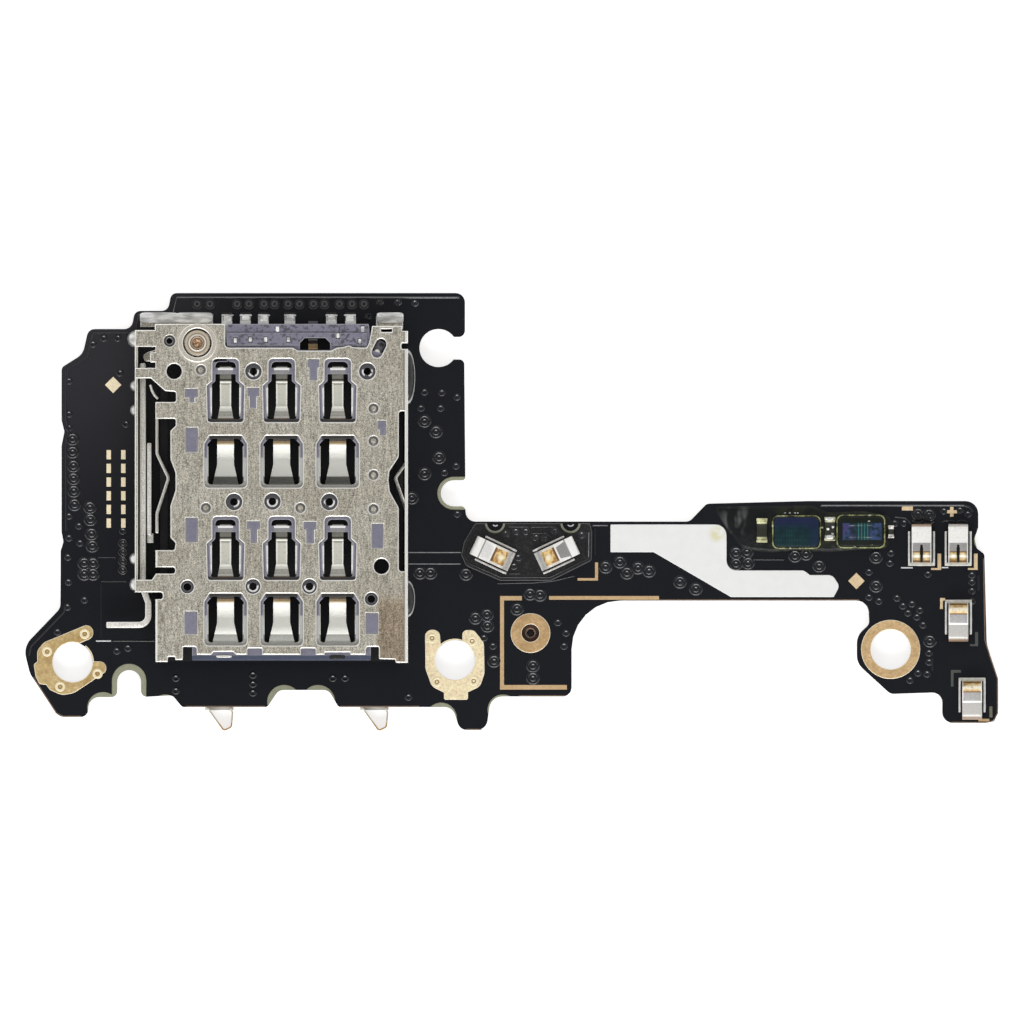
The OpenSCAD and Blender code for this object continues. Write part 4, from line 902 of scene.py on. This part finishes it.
def round_corners(corners):
    """Corners given as (x, y, radius), each rounded."""
    steps = 5
    out = []
    n = len(corners)
    for i, (x, y, r) in enumerate(corners):
        b = Vector((x, y))
        if not r:
            out.append((x, y))
            continue
        u = (Vector(corners[i - 1][:2]) - b).normalized()
        w = (Vector(corners[(i + 1) % n][:2]) - b).normalized()
        half = u.angle(w) / 2
        centre = b + (u + w).normalized() * r / math.sin(half)
        a0 = b + u * r / math.tan(half) - centre
        a1 = b + w * r / math.tan(half) - centre
        start = math.atan2(a0.y, a0.x)
        sweep = (math.atan2(a1.y, a1.x) - start + math.pi) % (2 * math.pi) - math.pi
        turns = [start + sweep * k / steps for k in range(steps + 1)]
        out += [tuple(centre + r * Vector((math.cos(a), math.sin(a)))) for a in turns]
    return out


def ridges(name, material, slot, *groups):
    """A piece of low ridges. Each group is its paths, half width, height and foot."""
    bm = bmesh.new()
    for paths, half, height, z in groups:
        for path in paths:
            ridge(bm, path, half, height, z)
    add_mesh(name, bm, material)


def rounds(name, material, spots, z, profile):
    """A piece of equal round forms, turned from one profile at each spot."""
    bm = bmesh.new()
    for spot in spots:
        lathe(bm, *spot, z, profile)
    add_mesh(name, bm, material)


# Finishes on the CAD pieces, and rolled or softened copies of them


def dress(node, material):
    """Puts a finish on a CAD piece as it is."""
    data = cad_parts[node].data
    data.materials.clear()
    data.materials.append(material)


steel = steel_skin("cover_steel", (0.56, 0.53, 0.45), (0.5, 0.465, 0.385))
# The cover steel painted lighter, standing in for light that the rod, its guide and the small pieces at
# the slot and the mouth do not get.
painted_light_steel = steel_skin("painted_light_steel", (0.86, 0.84, 0.79), (0.76, 0.73, 0.67), 0.5, 0.34, 0.4)
via_mask = raised_mask_skin("via_mask", 0.15, 0.55)
raised = raised_mask_skin("raised_mask", 0.45, 0.65)
solder = solder_skin("solder", (0.46, 0.46, 0.45))
finger = finger_skin()

dress("circuit_board", laminate_skin())
dress("solder_mask", mask_skin())
dress("detect_spring", detect_skin())
dress("lower_housing", base_skin())
dress("ground_finger_left", finger)
dress("ground_finger_right", finger)
for number, (x, y) in enumerate(CONTACTS, 1):
    dress(f"lower_contact_{number}", lower_contact_skin(f"lower_contact_{number}", y))
    dress(f"upper_contact_{number}", upper_contact_skin(f"upper_contact_{number}", x, y))

rolled("socket_cover", steel, 0.055, fold=0.11)
rolled("upper_housing", roof_skin(), 0.04)
rolled("ground_plate", tin_skin(), 0.03)
rolled("clip_insulator", insulator_skin(), 0.05)
rolled("gold_marks", mark_skin(), 0.02, drop=0.009)
rolled("lever_rivet", rivet_skin(), 0.04)
PLATING = {"left_screw_pad": gold_skin("pad_gold", (0.7, 0.53, 0.26), (0.5, 0.33, 0.13)),
           "centre_screw_pad": gold_skin("pale_gold", (0.93, 0.8, 0.52), (0.84, 0.63, 0.42), 0.62, 0.2),
           "right_screw_pad": gold_skin("ring_gold", (0.72, 0.5, 0.26), (0.58, 0.39, 0.19)),
           "mic_port_pad": gold_skin("port_gold", (0.64, 0.43, 0.215), (0.5, 0.32, 0.15))}
for node, plating in PLATING.items():
    rolled(node, plating, 0.05, drop=0.02)

soften("rod_guide", 0.03, painted_light_steel)
soften("push_rod", 0.05, painted_light_steel, "rod")
soften("eject_lever", 0.04, steel, "lever")
soften("filter_chip_left", 0.06, chip_skin("left_chip", *CHIPS[0], False))
soften("filter_chip_right", 0.06, chip_skin("right_chip", *CHIPS[1], True))
CAPACITORS = ((5.87, 0.3, (0.62, 0.62, 0.36)),
              (5.94, 0.3, (0.62, 0.6, 0.4)),
              (5.81, 0.12, (0.95, 0.9, 0.86)))
for number, (y, half, tin) in enumerate(CAPACITORS, 1):
    soften(f"chip_capacitor_{number}", 0.03, capacitor_skin(f"capacitor_{number}", y, half, tin))
WHITE = (0.95, 0.935, 0.895)
GREY = (0.36, 0.35, 0.345)
DULL = (0.62, 0.6, 0.57)
BROWN = (0.36, 0.25, 0.17)
CLIPS = {"antenna_clip_1": (21.13, 5.21, -90.0, WHITE, GREY, BROWN, True),
         "antenna_clip_2": (22.79, 5.21, -90.0, WHITE, GREY, (0.5, 0.46, 0.42), True),
         "antenna_clip_3": (22.8, 1.78, 90.0, DULL, GREY, BROWN, False),
         "antenna_clip_4": (23.42, -1.75, 90.0, DULL, GREY, BROWN, False)}
for node, look in CLIPS.items():
    soften(node, 0.03, clip_skin(node, *look))
FILM_CLIPS = {"mic_clip_left": (1.7, 4.82, -25.0, (0.78, 0.77, 0.75)),
              "mic_clip_right": (4.62, 4.82, 205.0, (0.3, 0.29, 0.28))}
for node, look in FILM_CLIPS.items():
    soften(node, 0.03, film_clip_skin(node, *look))

# Resin round the chips, with its beads and the bright specks in it

RESIN = round_corners([
    (11.66, 6.95, 0.15), (12.42, 5.8, 0.6), (13.0, 5.0, 0.6), (14.3, 4.86, 1.0), (15.4, 4.95, 1.0),
    (16.9, 4.88, 1.0), (18.4, 5.0, 1.0), (19.7, 5.06, 0.4), (19.86, 6.5, 0.4), (18.4, 6.76, 0.8),
    (16.9, 6.68, 0.8), (16.2, 7.0, 0.4), (14.0, 6.98, 1.0)])
RESIN_STEPS = ((0.0, 0.0), (0.02, 0.02), (0.05, 0.04), (0.09, 0.06), (0.13, 0.08), (0.17, 0.095))
bm = bmesh.new()
pool(bm, RESIN, SEAT, RESIN_STEPS)
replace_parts(add_mesh("potting_resin_pool", bm, resin_skin(), smooth=70.0), "potting_resin")

BEAD_HALF = (1.07, 0.72)
BEAD_CORNER = 0.24
bm = bmesh.new()
for x, y in CHIPS:
    corners = [(x + sx * BEAD_HALF[0], y + sy * BEAD_HALF[1], BEAD_CORNER)
               for sx, sy in ((-1, -1), (1, -1), (1, 1), (-1, 1))]
    ridge(bm, round_corners(corners), 0.042, 0.075, SEAT + 0.19, True)
for x, y in ((18.75, 6.27), (18.1, 5.15), (18.87, 5.21), (16.62, 6.0), (17.2, 5.5)):
    lump(bm, x, y, SEAT + 0.38, 0.07, 0.05, 0.06, uneven=0.2)
add_mesh("chip_beads", bm, bead_skin())
bm = bmesh.new()
for x, y, rx, ry in ((16.96, 6.39, 0.2, 0.08), (16.89, 5.93, 0.07, 0.06), (17.12, 6.02, 0.06, 0.06),
                     (16.98, 5.57, 0.18, 0.1), (17.1, 5.72, 0.06, 0.05)):
    lump(bm, x, y, SEAT + 0.32, rx, ry, 0.07, 3.0, uneven=0.25)
for x in (14.95, 15.16, 15.4, 15.52):
    lump(bm, x, 6.66, SEAT + 0.17, 0.05, 0.03, 0.06, uneven=0.2)
add_mesh("solder_specks", bm, solder)

# Solder at the feet of the cover and on the tails

LEFT_WALL = FOLD - 2 * HALF_W - 0.93
bm = bmesh.new()
for y, rx, ry, h in ((12.42, 0.22, 0.26, 0.3), (11.32, 0.22, 0.25, 0.3), (4.59, 0.24, 0.27, 0.3),
                     (3.42, 0.24, 0.3, 0.3), (14.54, 0.34, 0.38, 0.4)):
    lump(bm, LEFT_WALL, y, SEAT, rx, ry, h, 2.0, 90.0, 270.0, uneven=0.06)
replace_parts(add_mesh("solder_mounds", bm, solder), "solder_joints")
bm = bmesh.new()
for y, rx, ry, h in ((12.82, 0.33, 1.22, 0.4), (2.77, 0.32, 0.82, 0.38)):
    lump(bm, FOLD, y, SEAT, rx, ry, h, 2.0, -90.0, 90.0, rings=8)
add_mesh("solder_lenses", bm, lens_skin())
bm = bmesh.new()
for x in (-10.3, -9.47, -8.65, -7.47, -5.59, -4.76):
    lump(bm, x, 15.42, SEAT + 0.04, 0.2, 0.2, 0.16, 4.0, uneven=0.1)
    lump(bm, x, 15.61, SEAT + 0.04, 0.29, 0.05, 0.13, 4.0, uneven=0.1)
for x, half in ((-13.4, 0.88), (-11.8, 0.84), (-2.94, 0.62)):
    lump(bm, x, 15.5, SEAT + 0.08, half, 0.25, 0.16, 6.0, rings=6, steps=40, uneven=0.12)
add_mesh("solder_caps", bm, solder)

# Ends of the leads in the roof, bumps in the dimples, pin in the slanted slot, catch at the mouth

bm = bmesh.new()
for x, y in ((-9.95, 14.48), (-9.27, 14.52), (-8.57, 14.52), (-7.55, 14.52), (-5.3, 14.69),
             (-4.31, 14.44), (-8.04, 14.99), (-4.18, 14.99)):
    lump(bm, x, y, SEAT + 2.06, 0.085, 0.125, 0.12, 6.0, uneven=0.05)
add_mesh("lead_ends", bm, solder)
DIMPLE_DEPTH = 0.05
DIMPLE_PROFILE = ((0.2, 0.012), (0.17, 0.024), (0.12, 0.032), (0.06, 0.036), (0.0, 0.037))
rounds("dimple_bumps", steel, DIMPLES, COVER_TOP - DIMPLE_DEPTH, DIMPLE_PROFILE)
SLOT_TOP = (SOCKET[0] + HALF_W - 1.22, SOCKET[1] + 7.46)
SLOT_LOW = (SOCKET[0] + HALF_W - 1.4, SOCKET[1] + 7.1)
MOUTH_LIP = SEAT + 2.12
PIN_PROFILE = ((0.15, 0.0), (0.14, 0.06), (0.11, 0.1), (0.05, 0.11), (0.0, 0.11))
bm = bmesh.new()
lathe(bm, *SLOT_LOW, SEAT + 2.02, PIN_PROFILE)
lump(bm, -10.46, 0.16, MOUTH_LIP, 0.36, 0.06, 0.1, 4.0, uneven=0.1)
ridge(bm, [(-13.8, 12.46), (-13.72, 12.2), (-13.6, 11.98), (-13.45, 11.83)], 0.06, 0.08, SEAT + 1.75)
add_mesh("slot_pin_and_catch", bm, painted_light_steel)
way = Vector(SLOT_TOP) - Vector(SLOT_LOW)
start = Vector(SLOT_LOW) - way * 0.35
end = Vector(SLOT_TOP) + way * 0.35
ridges("slot_plug", line_skin("slot_plug", (0.07, 0.066, 0.085), (0.13, 0.125, 0.15)), "purple_plastic",
       ([[tuple(start.lerp(end, k / 6)) for k in range(7)]], 0.22, 0.07, SEAT + 1.98))
# Painted shade: a black disc in the top of the slanted slot and a black lump at the mouth, where the
# hollows are dark.
bm = bmesh.new()
lathe(bm, SLOT_TOP[0] + 0.02, SLOT_TOP[1] - 0.02, SEAT + 2.05, ((0.1, 0.0), (0.09, 0.012), (0.0, 0.012)))
lump(bm, -5.33, 0.13, MOUTH_LIP, 0.36, 0.1, 0.06, 5.0, uneven=0.2)
add_mesh("dark_hollows", bm, line_skin("dark_hollow", (0.003, 0.003, 0.003), (0.009, 0.009, 0.01)))

# Plated rims of the screw holes and of the vias in the pads

PAD_TOP = BOARD_TOP + 0.05
PAD_VIAS = ((-16.77, 1.18), (-18.47, 0.38), (-17.88, -1.21), (-16.19, -0.62), (-1.04, 0.99), (0.78, 0.86),
            (-0.82, -0.99), (0.85, -0.95))
RIM_PROFILE = ((0.235, -0.005), (0.215, 0.02), (0.175, 0.034), (0.135, 0.022), (0.105, 0.002))
CORE_PROFILE = ((0.11, 0.004), (0.08, 0.005), (0.05, -0.002), (0.0, -0.004))
PORT_PROFILE = ((0.178, 0.0), (0.15, 0.06), (0.1, 0.04), (0.0, 0.03))
bm = bmesh.new()
ridge(bm, arc(*LEFT_HOLE, 0.94, -8.0, 52.0), 0.03, 0.02, SEAT)
ridge(bm, arc(0.0, 0.0, 0.94, 38.0, 142.0), 0.03, 0.02, SEAT)
for spot in PAD_VIAS:
    lathe(bm, *spot, PAD_TOP, RIM_PROFILE)
add_mesh("pad_rims", bm, bronze_skin("rim_gold", (0.98, 0.9, 0.66), (0.86, 0.72, 0.44), 0.15))
rounds("pad_via_cores", bronze_skin("core_gold", (0.5, 0.35, 0.14), (0.26, 0.16, 0.06)), PAD_VIAS,
       PAD_TOP, CORE_PROFILE)
rounds("mic_port_floor", line_skin("port_floor", (0.012, 0.008, 0.006), (0.03, 0.018, 0.012)),
       [MIC_PORT], 0.0, PORT_PROFILE)
bm = bmesh.new()
ridge(bm, arc(*MIC_PORT, 0.22, 0.0, 345.0, 24), 0.025, 0.015, BOARD_TOP / 2, True)
add_mesh("mic_port_ring", bm, line_skin("port_ring", (0.3, 0.17, 0.1), (0.5, 0.32, 0.2)))

# Raised rings of the mask over the vias

BACK_VIAS = [(x, 16.12) for x in (-11.68, -11.1, -9.87, -9.33, -8.65, -8.17, -7.56, -7.04, -6.41, -5.91,
                                  -5.23, -4.66, -4.12)]
CLOSE_VIAS = [(-15.04, y) for y in (5.3, 4.89, 4.48, 4.08)]
VIAS = [
    (-17.32, 10.01), (-17.32, 9.42), (-17.28, 8.79), (-17.28, 8.22), (-17.26, 7.65), (-17.23, 7.04),
    (-16.53, 6.91), (-16.51, 6.36), (-16.46, 5.71), (-16.42, 5.16), (-16.79, 4.37), (-16.39, 4.37),
    (-16.79, 3.89), (-16.39, 3.89), (-1.38, 10.82), (-0.86, 10.34), (-0.72, 9.17), (-1.38, 8.44),
    (-1.95, 7.34), (-1.59, 3.94), (-1.11, 3.94), (0.5, 3.89), (3.4, 2.99), (3.85, 2.94), (2.81, 2.31),
    (0.93, 1.9), (1.45, 2.04), (1.47, 1.54), (1.77, -0.05), (3.53, -0.27), (3.53, -0.82), (6.82, 4.21),
    (7.47, 4.44), (7.79, 3.94), (8.29, 4.17), (8.79, 4.03), (10.19, 3.53), (10.91, 3.22), (12.73, 4.85),
    (13.22, 4.89), (12.73, 4.35), (13.27, 4.39), (15.4, 4.71), (15.9, 4.8), (16.49, 4.26),
    (19.07, 4.66), (19.07, 3.35), (20.97, 6.61), (21.47, 6.57), (21.51, 0.86)]
DOTS = [
    (-16.39, 14.31), (-15.9, 14.58), (-15.26, 14.58), (-17.48, 12.64), (-17.48, 11.14), (-17.48, 10.51),
    (-15.17, 13.0), (-14.9, 10.69), (-17.48, 6.52), (-17.03, 6.07), (-16.98, 5.3), (-17.48, 5.53),
    (-17.53, 4.66), (-17.5, 3.53), (-16.78, 2.72), (-17.55, 2.4), (-18.0, 1.27), (-15.04, 5.84),
    (-3.4, 16.21), (-2.58, 16.21), (-1.81, 16.17), (-3.92, 15.53), (-1.38, 12.14), (-0.6, 12.11),
    (0.09, 11.91), (-1.54, 11.41), (-0.65, 11.41), (0.05, 8.79), (-0.48, 8.49), (0.11, 6.61),
    (1.31, 1.0), (1.72, 0.63), (-2.11, -1.68), (4.66, 1.7), (5.03, 1.22), (4.94, 0.63), (19.75, 4.85),
    (19.7, 4.39), (18.75, 3.99), (18.75, 2.85), (19.2, 2.67), (20.02, 2.81), (20.29, 2.45),
    (20.7, 2.54), (20.52, 2.13), (21.06, 2.26), (20.92, 1.95), (21.2, 1.59), (21.47, 0.32),
    (21.47, -0.09), (20.97, -0.59), (21.38, -0.63), (20.61, -0.91), (20.34, 6.2), (19.93, 6.2),
    (22.15, 6.75), (22.87, 6.79), (23.23, 6.61), (21.42, 3.89), (23.41, 3.85), (23.41, 3.53),
    (23.41, 3.13), (23.41, 2.67), (-14.81, 0.54), (-15.31, 0.41), (-12.64, -0.82), (-12.64, -1.4),
    (-9.15, -0.68), (-9.15, -1.09), (-9.15, -1.49), (-5.53, -0.82), (-4.98, -0.82)]
FILM_DOTS = [
    (2.32, 5.72), (2.76, 5.82), (3.21, 5.82), (4.52, 5.84), (5.74, 5.67), (3.67, 5.55), (4.06, 5.5),
    (2.86, 4.64), (2.67, 4.25)]
VIA_PROFILE = ((0.315, -0.005), (0.29, 0.02), (0.255, 0.038), (0.22, 0.036), (0.19, 0.014), (0.17, 0.004),
               (0.145, 0.018), (0.115, 0.031), (0.085, 0.027), (0.055, 0.006), (0.0, 0.0))
CLOSE_PROFILE = [(0.74 * r, z) for r, z in VIA_PROFILE]
DOT_PROFILE = ((0.175, -0.005), (0.155, 0.018), (0.125, 0.03), (0.095, 0.022), (0.065, 0.002),
               (0.0, -0.001))
DOT_STEPS = 20
PIT_PROFILE = ((0.235, -0.005), (0.215, 0.012), (0.18, 0.012), (0.06, 0.006), (0.0, 0.004))
CROWN_PROFILE = ((0.15, 0.006), (0.13, 0.024), (0.11, 0.028), (0.085, 0.024), (0.07, 0.004))
bm = bmesh.new()
for spot in VIAS:
    lathe(bm, *spot, SEAT, VIA_PROFILE)
for spot in CLOSE_VIAS:
    lathe(bm, *spot, SEAT, CLOSE_PROFILE)
for spot in DOTS:
    lathe(bm, *spot, SEAT, DOT_PROFILE, DOT_STEPS)
add_mesh("via_rings", bm, via_mask)
# Painted shade: near-black discs for the pits of the back vias.
rounds("back_via_pits", line_skin("via_pit", (0.0012, 0.0014, 0.002), (0.003, 0.003, 0.004)),
       BACK_VIAS, SEAT, PIT_PROFILE)
# Painted highlights: grey rings on the crowns of the back vias, and arcs on their lower side.
bm = bmesh.new()
for x, y in BACK_VIAS:
    lathe(bm, x, y, SEAT, CROWN_PROFILE)
    ridge(bm, arc(x, y, 0.225, 205.0, 335.0, 12), 0.018, 0.02, SEAT)
crown = line_skin("via_crown", (0.035, 0.036, 0.04), (0.11, 0.112, 0.12))
add_mesh("back_via_crowns", bm, crown)

# Raised lines of the mask and of the film: rims along the edges, traces, and the glints on them

EDGE_RIMS = (
    [(0.2, 16.42), (-12.6, 16.42), (-12.8, 15.62), (-14.32, 15.62), (-14.46, 14.8), (-16.4, 14.8),
     (-16.66, 13.72), (-17.6, 13.14), (-17.6, 10.9), (-17.48, 10.35), (-17.6, 9.72), (-17.6, 5.85)],
    [(16.55, 7.0), (23.05, 7.0), (23.3, 6.92), (23.45, 6.7)])
TRACES = (
    [(-2.5, 4.87), (0.27, 4.87)],
    [(-2.5, 4.35), (0.27, 4.35)],
    [(19.93, 6.48), (20.38, 6.44), (20.55, 6.3), (20.63, 6.15)],
    [(20.73, 6.33), (20.88, 6.2), (21.06, 6.2), (21.21, 6.28)],
    [(21.24, 6.18), (21.48, 6.16), (21.68, 6.26)],
    [(22.06, 6.24), (22.19, 6.31), (22.46, 6.3), (22.62, 6.26)],
    [(22.74, 6.26), (22.91, 6.32), (23.08, 6.3), (23.21, 6.24)],
    [(23.71, 3.85), (23.71, 3.13)],
    [(-15.5, 0.86), (-13.6, 0.86)],
    [(-19.3, 0.2), (-19.2, 0.62), (-17.72, 2.15), (-17.62, 2.5)],
    [(13.3, 4.55), (14.9, 4.55)],
    [(21.62, 0.1), (21.62, -0.5)],
    [(6.2, 6.09), (6.93, 6.09)],
    [(6.33, 5.96), (6.33, 4.74)],
    [(1.93, 3.47), (3.5, 3.5), (4.38, 3.57), (5.4, 3.81)])
THIN_TRACES = (
    [(-16.16, 4.64), (-15.38, 4.64)],
    [(-16.02, 3.55), (-14.89, 3.55)],
    [(-16.02, 3.43), (-16.02, 0.98)])
MASK_GLINTS = (
    [(16.6, 7.0), (23.05, 7.0)],
    [(0.1, 16.42), (-12.6, 16.42), (-12.78, 15.66)],
    [(-2.4, 4.87), (0.25, 4.87)],
    [(-2.4, 4.35), (0.25, 4.35)],
    [(6.25, 6.09), (6.9, 6.09)])
FILM_GLINT = [(6.05, 4.66), (6.06, 5.78)]
FILM_TRACES = (
    [(1.0, 6.02), (0.58, 5.35), (0.44, 4.78), (0.64, 4.38), (2.09, 3.74), (4.3, 3.74), (6.05, 4.62),
     (6.06, 5.8)],
    [(2.42, 6.03), (3.3, 6.03)],
    [(3.44, 6.02), (4.53, 6.02)],
    [(3.5, 5.74), (4.09, 5.74), (4.38, 5.53)],
    [(5.94, 5.48), (5.94, 4.71)],
    [(2.47, 3.91), (2.96, 3.91)])
GLINT_AND_BARE_LINES = (
    [(-16.26, 0.86), (-15.58, 0.86)],
    [(20.2, 4.18), (20.73, 4.18)],
    [(22.04, 4.19), (22.34, 4.19)],
    # The two arcs in the notches of the film are painted highlights.
    arc(1.83, 6.2, 0.13, 215.0, 320.0),
    arc(5.23, 6.22, 0.16, 220.0, 330.0))
CUT_EDGES = (
    [(23.94, 4.6), (24.0, 0.9), (24.22, 0.2), (24.57, -0.85), (24.57, -2.4), (24.4, -2.76),
     (24.05, -2.82), (22.5, -2.82)],
    [(18.3, 2.72), (7.6, 2.72)],
    [(5.0, -1.62), (2.9, -1.62)],
    [(-1.6, -2.1), (-5.2, -2.1)],
    [(-8.6, -2.1), (-12.2, -2.1)],
    [(-16.95, -2.55), (-17.75, -2.55), (-18.05, -2.4), (-19.1, -0.78)],
    [(0.5, -3.14), (1.2, -3.14)])
NOTCH_RIMS = [arc(x, 6.2, 0.41, 184.0, 356.0) for x in (1.81, 5.23)]
ridges("mask_ridges", raised, "mask", (EDGE_RIMS, 0.055, 0.035, SEAT), (TRACES, 0.04, 0.03, SEAT),
       (THIN_TRACES, 0.02, 0.012, SEAT))
ridges("rim_glints", line_skin("rim_glint", (0.07, 0.07, 0.075), (0.34, 0.345, 0.36)), "mask",
       (MASK_GLINTS, 0.02, 0.012, SEAT + 0.026), ([FILM_GLINT], 0.02, 0.012, SEAT + 0.12))
bm = bmesh.new()
for trace in FILM_TRACES:
    ridge(bm, trace, 0.035, 0.03, FILM)
for spot in FILM_DOTS:
    lathe(bm, *spot, FILM, DOT_PROFILE, DOT_STEPS)
add_mesh("film_ridges", bm, raised)
ridges("film_notch_rims", line_skin("notch_rim", (0.16, 0.17, 0.12), (0.32, 0.33, 0.25)), "insulator",
       (NOTCH_RIMS, 0.05, 0.02, FILM))
# Pale lines: bare metal along the straight paths, painted highlights along the arcs in the notches.
ridges("glint_and_bare_lines", line_skin("glint_and_bare_line", (0.6, 0.61, 0.63), (0.82, 0.83, 0.85)), "tin",
       (GLINT_AND_BARE_LINES, 0.03, 0.025, SEAT))
ridges("cut_edge_lines", line_skin("cut_edge", (0.1, 0.06, 0.04), (0.24, 0.16, 0.1)), "laminate",
       (CUT_EDGES, 0.028, 0.012, SEAT))

# Stage, light and camera

FLOOR_LEVEL = -0.1 * MM
FLOOR_GLOW = 0.66
VIEW_WIDTH = 46.377 * MM
CAMERA_SPOT = (2.582 * MM, 6.703 * MM, 0.25)


def stage():
    """A pale floor that the camera sees as white, and a sky that is dimmer overhead."""
    bm = bmesh.new()
    bmesh.ops.create_grid(bm, x_segments=1, y_segments=1, size=1.2)
    mesh = bpy.data.meshes.new("floor")
    bm.to_mesh(mesh)
    bm.free()
    floor = bpy.data.objects.new("floor", mesh)
    floor.location.z = FLOOR_LEVEL
    bpy.context.scene.collection.objects.link(floor)
    material = bpy.data.materials.new("pale_floor")
    material.use_nodes = True
    tree = material.node_tree
    shader = tree.nodes["Principled BSDF"]
    shader.inputs["Base Color"].default_value = (0.8, 0.8, 0.8, 1.0)
    shader.inputs["Roughness"].default_value = 0.9
    shader.inputs["Specular IOR Level"].default_value = 0.0
    camera_ray, glossy_ray, clear_ray = (add_node(tree, "ShaderNodeLightPath", {}, f"Is {kind} Ray")
                                         for kind in ("Camera", "Glossy", "Transmission"))
    seen = camera_ray + glossy_ray + clear_ray
    glow = (seen * FLOOR_GLOW).mix(BLACK, (1.0, 1.0, 1.0))
    feed(tree, shader.inputs["Emission Color"], glow)
    shader.inputs["Emission Strength"].default_value = 1.0
    mesh.materials.append(material)

    world = bpy.data.worlds.new("studio")
    bpy.context.scene.world = world
    world.use_nodes = True
    tree = world.node_tree
    up = add_node(tree, "ShaderNodeTexCoord", {}, "Generated")
    height = up.node("ShaderNodeSeparateXYZ", {0: up}, out=2)
    sky = height.above(0.55, 0.8).mix((1.0, 1.0, 1.0), (0.5, 0.5, 0.5))
    back = tree.nodes["Background"]
    feed(tree, back.inputs["Color"], sky)
    back.inputs["Strength"].default_value = 1.0


def lamp(name, spot, target, wide, deep, power):
    """An area lamp that looks at the target. Metres and watts."""
    data = bpy.data.lights.new(name, "AREA")
    data.shape = "RECTANGLE"
    data.size = wide
    data.size_y = deep
    data.energy = power
    obj = bpy.data.objects.new(name, data)
    obj.location = spot
    obj.rotation_euler = (Vector(target) - Vector(spot)).to_track_quat("-Z", "Y").to_euler()
    bpy.context.scene.collection.objects.link(obj)


stage()
middle = Vector((0.0026, 0.0067, 0.0))
lamp("front_lamp", middle + Vector((0.0, -0.25, 0.25)), middle, wide=0.3, deep=0.09, power=0.55)
lamp("back_lamp", middle + Vector((-0.16, 0.2, 0.28)), middle, wide=0.15, deep=0.15, power=0.08)

camera_data = bpy.data.cameras.new("camera")
camera_data.type = "ORTHO"
camera_data.ortho_scale = VIEW_WIDTH
camera_data.clip_start = 0.001
camera_data.clip_end = 5.0
camera = bpy.data.objects.new("camera", camera_data)
camera.location = CAMERA_SPOT
bpy.context.scene.collection.objects.link(camera)
bpy.context.scene.camera = camera
bpy.context.scene.view_settings.view_transform = "Standard"
